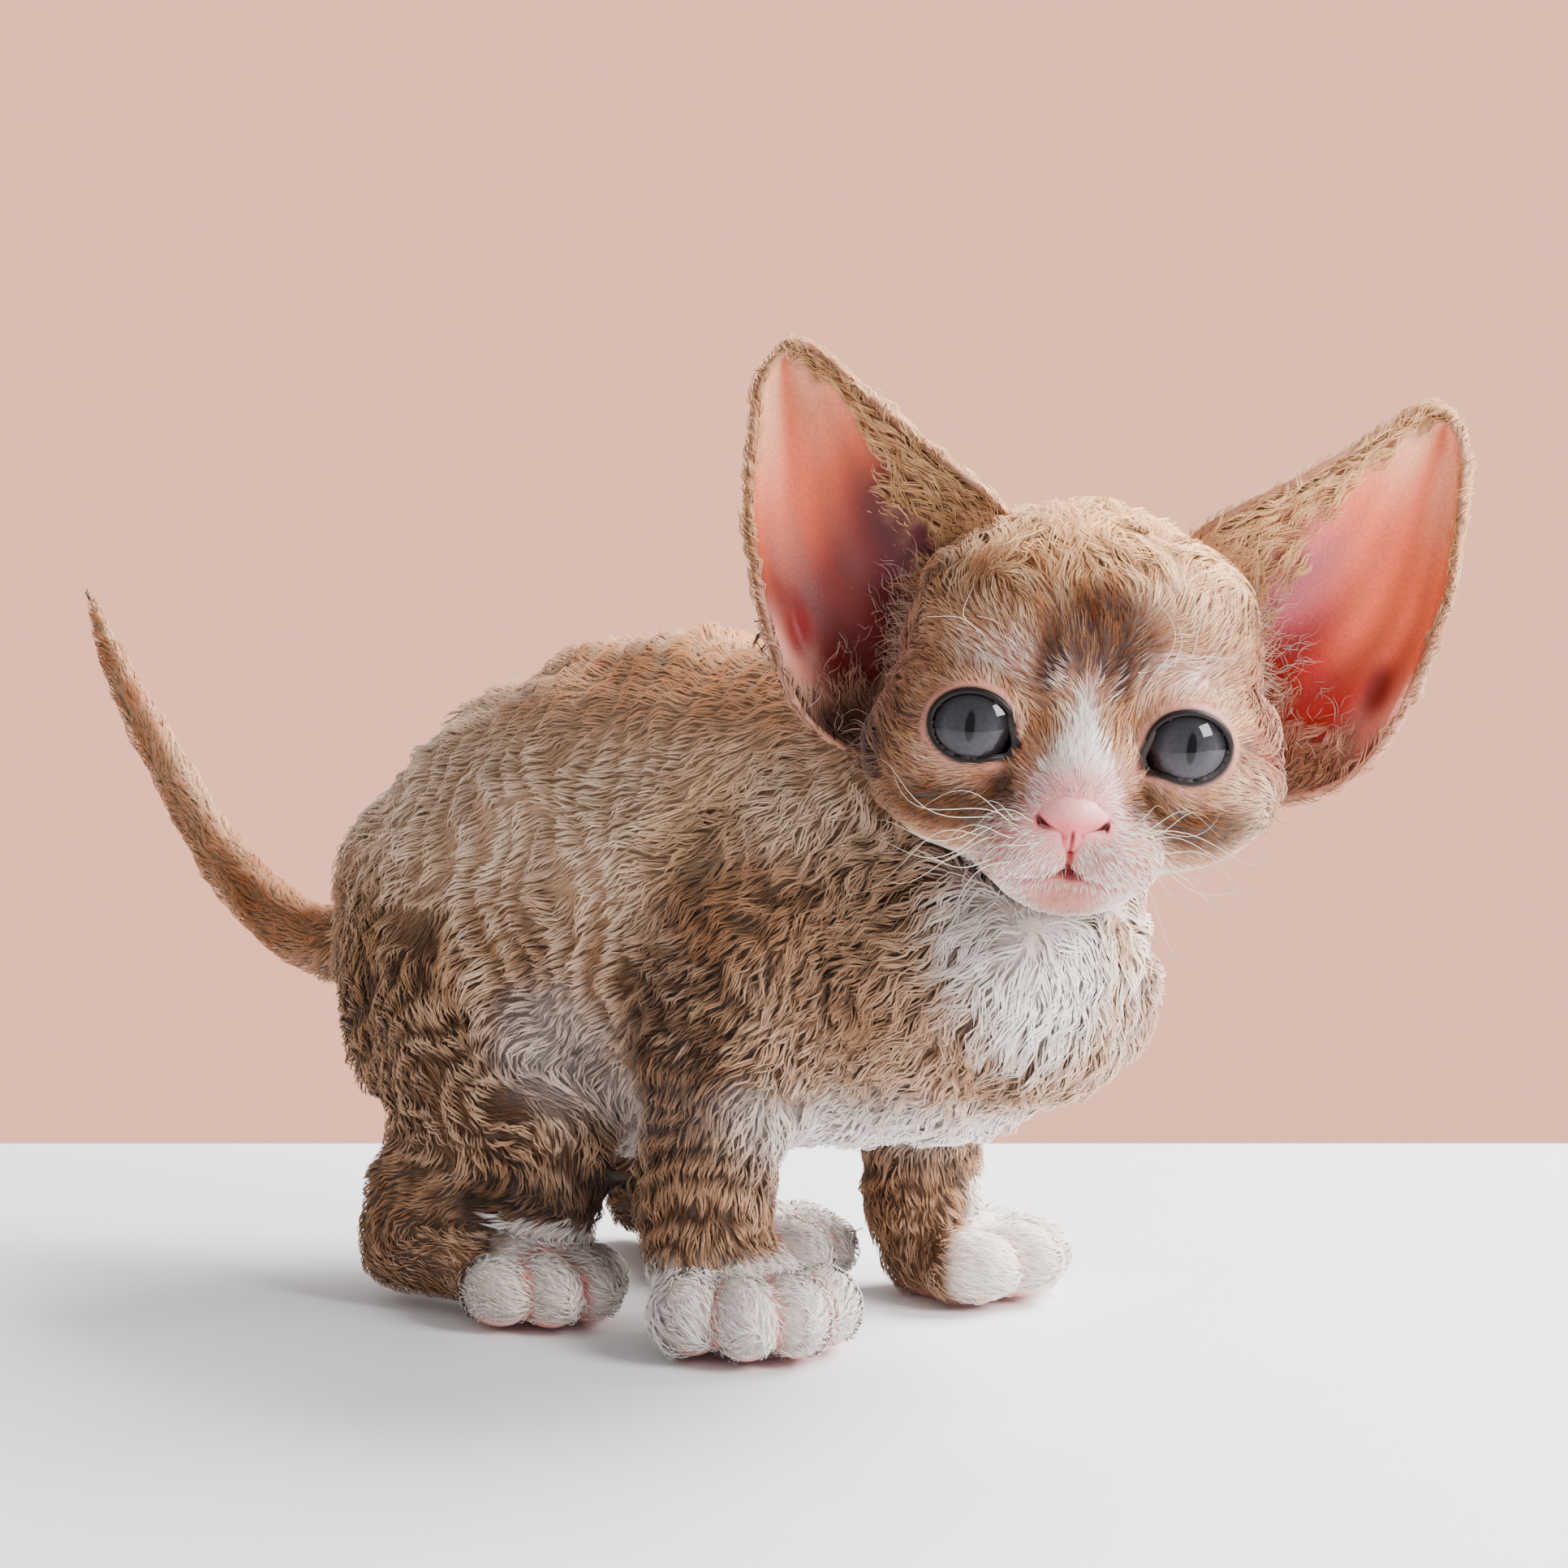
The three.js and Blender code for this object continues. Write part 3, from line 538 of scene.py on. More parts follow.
# The lie of the coat: away from the nose over the head, backwards and down over the trunk, and down each
# limb. Each line is the middle of a part of the body: places along it, and how far its flesh reaches.
LINES = {
    "chest": [(46, 0, 56, 10), (30, 0, 56, 26), (14, 1, 59, 32), (4, 1, 60, 33)],
    "trunk": [(-4, 0, 61, 36), (-24, -1, 61, 39), (-40, -2, 62, 38), (-63, -3, 57, 30), (-86, -3, 46, 12)],
    "neck": [(32, 4, 84, 18), (20, 5, 76, 21), (6, 3, 68, 24)],
    "foreleg_right": [
        (-1, -17, 65, 14), (-6, -20, 50, 14), (-10, -23, 33, 12), (-8, -24, 18, 10), (-6, -24, 9, 9),
    ],
    "foreleg_left": [(11, 14, 58, 12), (4, 19, 44, 11), (-2, 21, 28, 9), (-2, 21, 14, 8), (-2, 21, 8, 8)],
    "thigh_right": [(-69, -16, 54, 14), (-60, -22, 46, 16), (-48, -27, 34, 14), (-28, -27, 26, 11)],
    "hock_right": [(-26, -27, 22, 9), (-54, -30, 19, 9), (-62, -31, 12, 8)],
    "thigh_left": [(-62, 10, 53, 13), (-50, 17, 44, 15), (-38, 20, 34, 11), (-30, 20, 27, 8)],
    "hock_left": [(-36, 20, 28, 7), (-50, 20, 20, 8), (-57, 20, 12, 8)],
    "tail": [(-84, -3, 46, 8), (-108, -4, 48, 5), (-130, -4, 67, 4), (-147, -4, 91, 3), (-151, -4, 100, 2)],
    "paw_fore_right": [(-5, -20, 8, 9), (9, -29, 6, 7)],
    "paw_fore_left": [(-1, 20, 8, 8), (13, 26, 6, 7)],
    "paw_hind_right": [(-60, -31, 8, 8), (-44, -30, 8, 8), (-28, -31, 6, 7)],
    "paw_hind_left": [(-57, 20, 8, 8), (-35, 16, 8, 8), (-18, 12, 6, 7)],
}
# Of each region's coat: length, height, half width of a tuft, tufts to a square millimetre, width of a lock,
# how far its tufts are drawn together, how far they wave aside, and how strongly the coat ripples
KINDS = {
    "chest": (8.0, 2.5, 0.175, 1.8, 2.6, 0.75, 0.9, 0.7),
    "trunk": (4.5, 2.3, 0.185, 1.45, 2.4, 0.5, 0.4, 1.15),
    "neck": (4.9, 2.3, 0.18, 1.55, 2.4, 0.6, 0.7, 0.8),
    "foreleg": (4.2, 1.8, 0.175, 2.05, 2.2, 0.5, 0.4, 1.2),
    "thigh": (4.2, 1.9, 0.18, 1.7, 2.2, 0.5, 0.4, 1.15),
    "hock": (3.3, 1.2, 0.19, 2.0, 2.0, 0.5, 0.3, 0.9),
    "tail": (3.3, 1.2, 0.19, 2.0, 2.0, 0.4, 0.3, 0.5),
    "paw": (2.6, 0.75, 0.10, 2.4, 1.3, 0.45, 0.35, 0.3),
    "crown": (5.0, 2.6, 0.13, 1.9, 1.8, 0.6, 1.3, 0.5),
    "face": (2.6, 0.5, 0.085, 4.2, 1.2, 0.5, 0.2, 0.2),
    "muzzle": (1.7, 0.35, 0.075, 5.0, 0.9, 0.4, 0.1, 0.1),
    "ear": (2.2, 0.5, 0.12, 1.5, 1.6, 0.4, 0.3, 0.2),
    "tuft": (4.6, 1.3, 0.11, 3.2, 1.8, 0.6, 1.1, 0.3),
}
regions = list(KINDS)


def swell(places, size, seed):
    """A smooth wandering value, mostly from -1 to 1, that changes over about the size given."""
    draw = np.random.default_rng(seed)
    ways = draw.normal(size=(8, 3))
    ways *= (2 * np.pi / size * draw.uniform(0.5, 1.5, 8) / np.linalg.norm(ways, axis=1))[:, None]
    return np.sin(places @ ways.T + draw.uniform(0, 2 * np.pi, 8)).sum(axis=1) / 2.8


def near(places, centre, radii, soft=0.35):
    """1 within an ellipsoid about a centre, falling smoothly to 0 outside it."""
    away = np.linalg.norm((places - np.array(centre)) / radii, axis=1)
    return 1 - smoothstep(away, 1 - soft, 1 + soft)


def tree_of(places):
    tree = kdtree.KDTree(len(places))
    for i, spot in enumerate(places.tolist()):
        tree.insert(spot, i)
    tree.balance()
    return tree


def nearest(tree, places):
    """The number of the nearest place in the tree to each place, and how far away it is."""
    found = [tree.find(place)[1:] for place in places.tolist()]
    return np.array([i for i, _ in found]), np.array([away for _, away in found])


# The loose skin folds in behind the right foreleg, along a line that runs up round the shoulder
SHOULDER_FOLD = [
    (-17, -29, 24), (-18, -33, 42), (-19, -34, 56), (-18, -33, 68), (-13, -28, 75), (-6, -23, 79),
]
FOLD_HALF, FOLD_SUNK = 4.0, 3.6
from_fold, _ = line_distance(places_of(skin_mesh), SHOULDER_FOLD)
sunk = FOLD_SUNK * np.exp(-((from_fold / FOLD_HALF) ** 2))
put_places(skin_mesh, places_of(skin_mesh) - normals_of(skin_mesh) * sunk[:, None])

skin_places = places_of(skin_mesh)
skin_normals = normals_of(skin_mesh)
beside = to_head(skin_places)
faces_front = (skin_normals @ head_turned)[:, 0]

# Which places of the skin are on an ear, where across and along it, and whether they face into its cup
EAR_WEIGHT, TUFT_WEIGHT, TUFT_LIE = 80, 4, 6  # how strongly the ears and the tufts by them count
NOSE_END = (21, 0, -11)
ear_grid = np.meshgrid(np.linspace(0, 1, EAR_ACROSS + 1), np.linspace(0, 1, EAR_ALONG + 1))
ear_across, ear_along = (values.ravel() for values in ear_grid)
ear_spots = np.concatenate([ear_surface(ear_across, ear_along, side) for side in (1, -1)])
spot, away = nearest(tree_of(ear_spots), beside)
spot %= len(ear_across)
on_ear = 1 - smoothstep(away, EAR_THICK, EAR_THICK + 0.9)
on_ear *= (head_distance(beside) > -0.8) | (away < 0.02)
ear_u, ear_v = ear_across[spot], ear_along[spot]
in_cup = on_ear * smoothstep(faces_front, -0.3, 0.1) * (away < 0.7 * EAR_THICK)
# The furred inner margin of the ear, along and across it, and its furred foot, across and along
BAND = [(0.2, 0.50), (0.35, 0.38), (0.55, 0.30), (0.8, 0.22), (0.97, 0.40)]
LOBE = [(0.3, 0.26), (0.5, 0.20), (0.7, 0.24), (0.85, 0.30), (1.0, 0.36)]
band = np.interp(ear_v, *np.transpose(BAND)) + 0.05 * swell(beside, 5, 44)
lobe = np.interp(ear_u, *np.transpose(LOBE)) + 0.03 * swell(beside, 5, 45)
bald = smoothstep(ear_u, band - 0.04, band + 0.05) * smoothstep(ear_v, lobe - 0.03, lobe + 0.04)
bald *= 1 - smoothstep(ear_u, 0.94, 0.98)

shares = np.zeros((len(skin_places), len(regions)))
lie, run = np.zeros((len(skin_places), 3)), np.zeros(len(skin_places))
for name, rows in LINES.items():
    rows = np.array(rows, float)
    distance, t = line_distance(skin_places, rows[:, :3])
    distance -= np.interp(t, np.linspace(0, 1, len(rows)), rows[:, 3])
    share = np.exp(-np.clip(distance, -2, 60) / 2.0)
    ways = unit(np.diff(rows[:, :3], axis=0))
    stop = t * (len(rows) - 1) - 0.5
    way = np.column_stack([np.interp(stop, np.arange(len(ways)), ways[:, k]) for k in range(3)])
    measure = t * np.linalg.norm(np.diff(rows[:, :3], axis=0), axis=1).sum()
    if name in ("chest", "trunk", "neck"):
        way = way + (0, 0, -1.3 if name == "chest" else -0.6)
        fall = 0.15 if name == "trunk" else 0.8
        measure = -0.8 * skin_places[:, 0] - fall * skin_places[:, 2]
    lie += way * share[:, None]
    run += measure * share
    shares[:, regions.index(next(kind for kind in regions if name.startswith(kind)))] += share
on_head = np.exp(-np.clip(head_distance(beside), -2, 60) / 1.2) * 3 * (1 - on_ear)
aside, level = np.sign(beside[:, 1]), np.ones(len(run))
from_nose = unit(beside - NOSE_END) + np.column_stack((-0.4 * level, 0 * level, -0.25 * (beside[:, 2] < 0)))
up_ear = np.column_stack((-0.1 * level, 0.7 * aside, 0.9 * level))
lie += (from_nose * on_head[:, None] + EAR_WEIGHT * up_ear * on_ear[:, None]) @ head_turned.T
run += np.linalg.norm(beside - NOSE_END, axis=1) * (on_head + EAR_WEIGHT * on_ear)
crown = smoothstep(beside[:, 2] - 0.3 * beside[:, 0], 8, 20)
crown = np.maximum(crown, smoothstep(np.abs(beside[:, 1]) - 0.3 * beside[:, 0], 20, 26))
crown = np.maximum(crown, 1 - smoothstep(beside[:, 0], -14, -4))
muzzle = near(beside, (20, 0, -16), (13, 13, 8), 0.3) * (1 - crown)
for kind, share in (("crown", crown), ("muzzle", muzzle), ("face", 1 - crown - muzzle)):
    shares[:, regions.index(kind)] += on_head * np.maximum(share, 0)
furred_cup = in_cup * (1 - bald)
by_ear = (1 - smoothstep(away, 1.5, 7)) * (1 - on_ear) * on_head * (beside[:, 0] > -14)
off_cheek = np.column_stack((0.1 * level, 0.9 * aside, 0.3 * level))
lie += (TUFT_LIE * by_ear[:, None] * off_cheek) @ head_turned.T
shares[:, regions.index("tuft")] += TUFT_WEIGHT * by_ear
shares[:, regions.index("ear")] += EAR_WEIGHT * on_ear * (1 - furred_cup)
shares[:, regions.index("tuft")] += EAR_WEIGHT * on_ear * furred_cup
total = shares.sum(axis=1)
shares, run = shares / total[:, None], run / total

wander = np.column_stack([swell(skin_places, 13, 20 + k) for k in range(3)])
astray = 0.3 + 0.9 * shares[:, regions.index("crown")]
skin_lie = unit(lie) + astray[:, None] * wander
skin_lie = unit(skin_lie - skin_normals * (skin_lie * skin_normals).sum(axis=1)[:, None])
kinds_here = shares @ np.array(list(KINDS.values()))


# The markings: a red tabby with white, with painted light and shade laid among them where the body is lit or
# in shade. Skin and coat are both painted by this one account of it. The tips are pale and the roots brown,
# so the waves of the coat show pale crests over brown troughs.
def paint(red, green, blue):
    return (np.array((red, green, blue)) / 255) ** 2.2


CREAM, SAND, TAN, GINGER = paint(236, 204, 178), paint(216, 172, 138), paint(178, 130, 94), paint(146, 98, 62)
BROWN, DARK = paint(88, 60, 42), paint(52, 35, 26)
WHITE, ROSE = paint(250, 241, 235), paint(218, 150, 132)


def layered(colours, *layers):
    """Colours with others laid over them in turn, each given with how much of it shows."""
    for other, share in layers:
        colours = colours + (np.asarray(other) - colours) * np.clip(share, 0, 1)[:, None]
    return colours


def share_of(shares, *names):
    return sum(shares[:, regions.index(name)] for name in names)


def body_colours(places, shares):
    """The colours of the tips and of the roots over the body."""
    x, y, z = places.T
    blotch, fleck = swell(places * (1, 1, 0.7), 15, 3), swell(places, 5, 4)
    high, low_rump = smoothstep(z, 50, 74), (1 - smoothstep(x, -72, -40)) * (1 - smoothstep(z, 52, 74))
    ridge = smoothstep(z, 80, 95)
    blotched = 0.8 * smoothstep(blotch + 0.6 * fleck, 0.1, 1.1) * (1 - 0.6 * high) + 0.6 * low_rump
    legs = np.clip(share_of(shares, "foreleg", "hock") + 0.4 * share_of(shares, "thigh"), 0, 1)
    upper = smoothstep(z, 34, 46)
    legs *= 0.7 + 0.3 * upper
    shoulder = near(places, (-6, -30, 50), (11, 13, 22), 0.4)
    bars = smoothstep(np.sin(2 * np.pi * z / 4.8 + 1.5 * swell(places, 14, 6)), -0.6, 0.8)
    from_fold, _ = line_distance(places, SHOULDER_FOLD)
    # painted shade in the fold of skin behind the right foreleg
    fold_shade = np.exp(-((from_fold / 3.2) ** 2))
    # a painted highlight along the rim of the shoulder, just in front of the fold
    edge = np.exp(-(((from_fold - 6) / 2.4) ** 2)) * (y < -10)
    edge *= smoothstep(x, -17, -13) * smoothstep(z, 52, 60)
    blade = near(places, (2, -24, 67), (15, 12, 8), 0.5) * (1 - edge)
    # painted shade low on the near hind leg, above the hind paw and under the belly
    knee_shade = near(places, (-30, -30, 17), (17, 12, 9), 0.35)
    far_leg = share_of(shares, "foreleg") * (y > 5)
    side_chest = near(places, (20, -22, 62), (16, 14, 18)) + 0.6 * near(places, (36, 18, 52), (14, 14, 14))
    tail, bands = share_of(shares, "tail"), 0.5 + 0.5 * np.sin(x * 0.42 + z * 0.2)
    bib = near(places, (42, -10, 62), (15, 9.5, 14), 0.35)
    bib = np.maximum(bib, 0.5 * near(places, (44, 6, 60), (9, 10, 12), 0.6) * smoothstep(fleck, -0.5, 0.5))
    belly = (1 - smoothstep(z, 33, 43)) * smoothstep(x, -56, -40) * share_of(shares, "chest", "trunk")
    flank = 0.45 * near(places, (-31, -27, 41), (9, 9, 9), 0.6)
    fore_right = (1 - smoothstep(z, 12.5, 15)) * (x > -22) * (y < -5)
    fore_left = smoothstep(in_paw(places, PAWS[1])[:, 0], 2.2, 4.6) * (y > 0) * (x > -16) * (z < 20)
    hind = smoothstep(in_paw(places, PAWS[2])[:, 0], 0, 2.5) * (y < 0) * (x < -16) * (z < 16)
    # painted shade: the white of the near hind paw is less at its back, low down, in the shade of the body
    hind *= 0.85 - 0.5 * (1 - smoothstep(z, 8, 14)) * (1 - smoothstep(x, -46, -36)) * (y < 0)
    hind_left = (1 - smoothstep(z, 10, 14)) * smoothstep(x, -40, -34) * (y > 0) * (x < -10)
    hind += hind_left * share_of(shares, "paw")
    white = np.maximum.reduce((bib, belly, flank, fore_right, fore_left, hind))
    tips = layered(
        SAND,
        (CREAM, 0.35 + 0.35 * fleck + 0.8 * high - 0.9 * ridge),
        (paint(208, 132, 80), 0.9 * ridge),
        (TAN, blotched),
        (GINGER * (1 - 0.3 * upper)[:, None], legs),
        (BROWN, shoulder * (0.3 + 0.5 * bars)),
        (DARK, 0.8 * fold_shade),
        (paint(230, 180, 136), 0.8 * edge),
        (paint(168, 104, 58), 0.6 * blade),
        (DARK, 0.75 * knee_shade),
        (TAN, 0.6 * far_leg),
        (TAN, 0.7 * side_chest),
        (paint(156, 88, 48), tail * (0.6 + 0.4 * bands)),
        (WHITE, white),
    )
    return tips, layered(
        GINGER,
        (BROWN, 0.8 + 0.4 * blotch + 0.1 * low_rump - 0.9 * high),
        (paint(204, 162, 130), 0.9 * high),
        (DARK, legs),
        (DARK, 0.8 * shoulder),
        (DARK, fold_shade),
        (DARK, knee_shade),
        (DARK, 0.9 * side_chest),
        (TAN * 0.9, tail * (1 - 0.5 * bands)),
        (WHITE * 0.75 + ROSE * 0.15, white),
    )


def head_colours(places):
    """The colours of the tips and of the roots over the head, from places beside the head."""
    x, y, z = places.T
    side = np.abs(y)
    mirrored = np.column_stack((x, side, z))
    fleck = swell(places, 3.5, 8)
    patch = near(places, (15, 1.7, 12.5), (14, 8, 7.5), 0.35) * smoothstep(side + 0.9 * (z - 6.5), 0.5, 4)
    patch *= 0.75 + 0.25 * smoothstep(swell(places * (0.4, 1, 0.3), 3, 12), -0.6, 0.6)
    patch = np.maximum(patch, near(mirrored, (17, 4.4, 9.5), (9, 2.0, 5.5), 0.4))
    top = smoothstep(z, 19, 25) * (1 - 0.9 * patch)
    temples = near(mirrored, (0, 22, 8), (12, 8, 14), 0.5)
    stripes = near(mirrored, (12, 16.5, -11), (14, 8.5, 3.2), 0.45)
    stripes = np.maximum(stripes, near(mirrored, (18, 9.6, -8.5), (6, 3, 3.0), 0.5))
    stripes = np.maximum(stripes, 0.7 * near(mirrored, (8, 25, 0), (10, 5, 2.6), 0.5))
    cheek = near(mirrored, (4, 26, -8), (12, 7, 8), 0.5) * (1 - 0.8 * stripes)
    streaks = smoothstep(swell(places * (0.4, 1, 0.35), 2.2, 9), -0.4, 0.6)
    brow = near(mirrored, (16, 10.5, 9), (9, 7.5, 3.4), 0.5) * (1 - 0.9 * patch) * (0.35 + 0.65 * streaks)
    brow = np.maximum(brow, 0.8 * streaks * near(mirrored, (18, 2.6, 7), (8, 2.2, 2.8), 0.5))
    blaze = (1 - smoothstep(side - 0.36 * (1 - z), 1.0, 3.2)) * (1 - smoothstep(z, 6, 10)) * (x > 10)
    muzzle = near(places, (19, 0, -16), (12, 12, 7.5), 0.3)
    under = 1 - smoothstep(z + 0.25 * x, -20, -13)
    bridge = near(places, (20, 0, -7.5), (7, 4.8, 3), 0.5)
    chin = near(places, (17, 0, -21.8), (8, 5.5, 2.8), 0.4)
    foot = near(mirrored, (-3, 33, 3), (16, 12, 13), 0.4)
    under_ear = near(mirrored, (-2, 31, -6), (16, 7, 4.5), 0.5)
    # painted glow and shade: the foot of the left ear and the fur under it are painted paler and redder, as
    # lit through the ear, and the right's darker, as in shade
    glow = (y > 0)[:, None]  # the light from behind comes through the left ear
    tips = layered(
        paint(200, 138, 88),
        (paint(236, 200, 160), 0.45 + 0.5 * fleck),
        (paint(96, 46, 6), 0.98 * patch),
        (paint(244, 190, 136), 0.85 * top),
        (paint(196, 130, 76), 0.55 * top * smoothstep(fleck, 0.1, 0.9)),
        (paint(196, 144, 108), 0.7 * temples),
        (paint(116, 64, 20), 0.95 * stripes),
        # painted light and shade: the left cheek, towards the light, is painted paler, and the right cheek
        # darker, as in shade
        (paint(242, 218, 192), 0.6 * cheek * (y > 0)),
        (paint(138, 86, 48), 0.85 * cheek * (y < 0)),
        (WHITE, 0.7 * brow),
        (WHITE, np.maximum.reduce((blaze, muzzle, under))),
        (paint(238, 176, 170), 0.85 * bridge),
        (paint(166, 112, 98), 0.95 * chin),
        (np.where(glow, paint(226, 158, 138), paint(198, 146, 130)), 0.75 * foot),
        (np.where(glow, paint(178, 128, 92), BROWN), 0.85 * under_ear),
    )
    return tips, layered(
        paint(128, 80, 48),
        (ROSE * 0.7, 0.5 - 0.4 * smoothstep(z, 10, 24)),
        (paint(44, 20, 3), 0.98 * patch),
        (paint(164, 108, 66), 0.8 * smoothstep(z, 17, 24)),
        (BROWN, 0.6 * temples),
        (DARK, 0.9 * stripes),
        (BROWN, 0.4 * cheek),
        (ROSE, 0.6 * brow),
        (WHITE * 0.65 + ROSE * 0.35, np.maximum(blaze, 0.8 * under)),
        (paint(226, 130, 126), 0.8 * bridge),
        (np.where(glow, paint(170, 70, 56), paint(104, 44, 38)), 0.8 * foot),
        (np.where(glow, paint(116, 64, 44), DARK), 0.85 * under_ear),
        (paint(196, 118, 108), 0.85 * np.maximum(muzzle, chin)),
    )


def coat_colours(places, shares):
    """The colours of tips and roots at places in the layout, with the head blended into the body."""
    share = share_of(shares, "crown", "face", "muzzle", "ear", "tuft")
    on_body, on_head = body_colours(places, shares), head_colours(to_head(places))
    return [layered(body, (head, share)) for body, head in zip(on_body, on_head)]


def painted(mesh, colours):
    layer = mesh.color_attributes.new("coat", "FLOAT_COLOR", "POINT")
    rows = np.column_stack((colours, np.ones(len(colours))))
    layer.data.foreach_set("color", rows.astype(np.float32).ravel())


def coat_like(name, grain_size, grain_deep, **constants):
    """A material that takes its colour from the coat attribute, broken up by fine grain of its own."""
    made, shader, tree = material(name, **constants)
    colour = node(tree, "ShaderNodeAttribute", attribute_name="coat")
    place = node(tree, "ShaderNodeTexCoord")
    grain = node(tree, "ShaderNodeTexNoise", Scale=1 / (grain_size * MM), Detail=3)
    lift = node(tree, "ShaderNodeMapRange", From_Min=0.3, From_Max=0.7, To_Min=0.88, To_Max=1.1)
    shade = node(tree, "ShaderNodeVectorMath", operation="SCALE")
    rise = node(tree, "ShaderNodeBump", Strength=0.6, Distance=grain_deep * MM)
    join(
        tree,
        (place, "Object", grain, "Vector"),
        (grain, "Fac", lift, "Value"),
        (colour, "Color", shade, "Vector"),
        (lift, "Result", shade, "Scale"),
        (shade, "Vector", shader, "Base Color"),
        (grain, "Fac", rise, "Height"),
        (rise, "Normal", shader, "Normal"),
    )
    return made


# The bare skin shows in the ears, on the lids and lips, between the toes and on the pads of the paws. The
# ears' glow in the light from behind is painted into their colour, with painted shade in the hollow of the
# cup and the pocket of the fold, and the right ear, which the light reaches less, is painted darker.
# Everywhere else the skin has the colour of the roots of the coat that grows from it.
ear_in_shade = beside[:, 1] < 0
low = smoothstep(ear_v, np.where(ear_in_shade, 0.48, 0.36), np.where(ear_in_shade, 0.78, 0.63))
in_plane = np.column_stack((ear_u, ear_v, 0 * ear_v))
hollow_shade = near(in_plane, (0.38, 0.44, 0), (0.13, 0.16, 1), 0.6)
ear_glow_and_skin = layered(
    # painted glow of the light from behind through the ear: deepest crimson at the root, the right ear
    # darker, as in shade
    np.where(ear_in_shade[:, None], (0.12, 0.002, 0.002), (0.36, 0.006, 0.003)),
    (paint(224, 104, 70), low),
    (paint(236, 166, 128), smoothstep(ear_v, 0.66, 0.92)),
    (paint(206, 84, 46), 0.8 * np.exp(-(((ear_u - 0.74 + 0.2 * ear_v) / 0.09) ** 2)) * low),
    # painted shade in the deep hollow of the cup
    (np.where(ear_in_shade[:, None], paint(86, 22, 34), paint(176, 92, 108)), 0.7 * hollow_shade),
    (paint(214, 138, 122), 0.8 * near(in_plane, (0.91, 0.36, 0), (0.13, 0.15, 1), 0.5)),
    # painted shade in the pocket under the fold of the rim
    (paint(128, 10, 12), 0.85 * near(in_plane, (0.79, 0.46, 0), (0.06, 0.045, 1), 0.5)),
)
streak = np.sin(ear_u * 46 + 2 * np.sin(ear_v * 9)) * np.exp(-(((ear_v - 0.45) / 0.3) ** 2))
ear_glow_and_skin *= (1 + 0.14 * streak)[:, None]
colours = 0.85 * coat_colours(skin_places, shares)[1]
colours = layered(colours, (TAN * 0.6 + ROSE * 0.2, on_ear), (ear_glow_and_skin, in_cup * (0.3 + 0.7 * bald)))
for side in (1, -1):
    reach = lid_reach(beside, side)
    seen = reach < 90
    colours = layered(
        colours,
        (paint(196, 132, 116), 0.7 * (1 - smoothstep(reach, 1.2, 3.0)) * seen),
        (paint(34, 18, 18), (1 - smoothstep(reach, 0.5, 1.2)) * seen),
        (paint(150, 84, 76), 0.7 * near(beside * (1, side, 1), (17, 7.2, -5.2), (6, 1.6, 3), 0.5)),
    )
to_mouth, along_mouth = mouth_distance(beside)
in_front = beside[:, 0] > FRONT
mouth = (1 - smoothstep(to_mouth, 0.2, 0.7)) * in_front * (1 - along_mouth) ** 0.5
lips = 1 - smoothstep(np.abs(beside[:, 1]) - 1.8 * np.clip((-17.3 - beside[:, 2]) / 1.6, 0, 1), -0.1, 0.35)
lips *= smoothstep(beside[:, 2], -19.5, -19.1) * (1 - smoothstep(beside[:, 2], -17.4, -17.0)) * in_front
colours = layered(
    colours,
    (paint(232, 150, 148), near(beside, (20, 0, -10.5), (7, 6, 5.5), 0.5)),
    (paint(150, 34, 38), mouth),
    ((0.17, 0.008, 0.01), lips),
    (paint(176, 96, 84), 0.8 * near(beside, (17, 0, -21.6), (8, 5, 2.6), 0.4)),
    (paint(232, 150, 142), 0.8 * (1 - smoothstep(skin_places[:, 2], 1.4, 3.0))),
)
for paw in PAWS:
    first, second = np.sort(toe_distances(skin_places, paw), axis=0)[:2]
    cleft = (1 - smoothstep(second - first, 0.5, 2.0)) * (np.abs(first) < 2)
    cleft *= smoothstep(in_paw(skin_places, paw)[:, 0], 3, 8) * (skin_places[:, 2] < PAW_TOP)
    colours = layered(colours, (paint(206, 112, 100), 0.85 * cleft))
painted(skin_mesh, colours)
skin_finish = coat_like("skin", 0.5, 0.12, Roughness=0.6, Subsurface_Weight=0.3, Subsurface_Scale=0.0015)
skin_mesh.materials.clear()
skin_mesh.materials.append(skin_finish)
skin_mesh.shade_smooth()

# The nose: a small pad of bare rosy leather over the end of the muzzle, with a groove down its middle and
# nostrils like commas that open to the sides. It is one closed form that sits in the muzzle's hollow.
NOSE_MIDDLE = np.array((19.0, 0, -11.5))
NOSTRIL, NOSTRIL_WIDE, NOSTRIL_HIGH, NOSTRIL_TURN, NOSTRIL_DEEP = (3.5, -12.4), 2.1, 0.66, 36, 1.6

nose_mesh, ways = ball(120, 90, 1.1)
leather = out_of(lambda p: distance_to(p, NOSE_MASSES, 2), NOSE_MIDDLE, ways, 12)
turn = math.radians(NOSTRIL_TURN)
off_y, off_z = np.abs(leather[:, 1]) - NOSTRIL[0], leather[:, 2] - NOSTRIL[1]
slit_along = off_y * math.cos(turn) + off_z * math.sin(turn)
slit_across = off_z * math.cos(turn) - off_y * math.sin(turn) - 0.14 * slit_along**2 + 0.2
in_slit = np.exp(-(((slit_along / NOSTRIL_WIDE) ** 2 + (slit_across / NOSTRIL_HIGH) ** 2) ** 1.5))
in_slit *= leather[:, 0] > 18
groove = np.exp(-((leather[:, 1] / 0.28) ** 2)) * smoothstep(-leather[:, 2], 12, 13) * 0.5
leather[:, 0] -= NOSTRIL_DEEP * in_slit + groove
put_places(nose_mesh, from_head(leather))
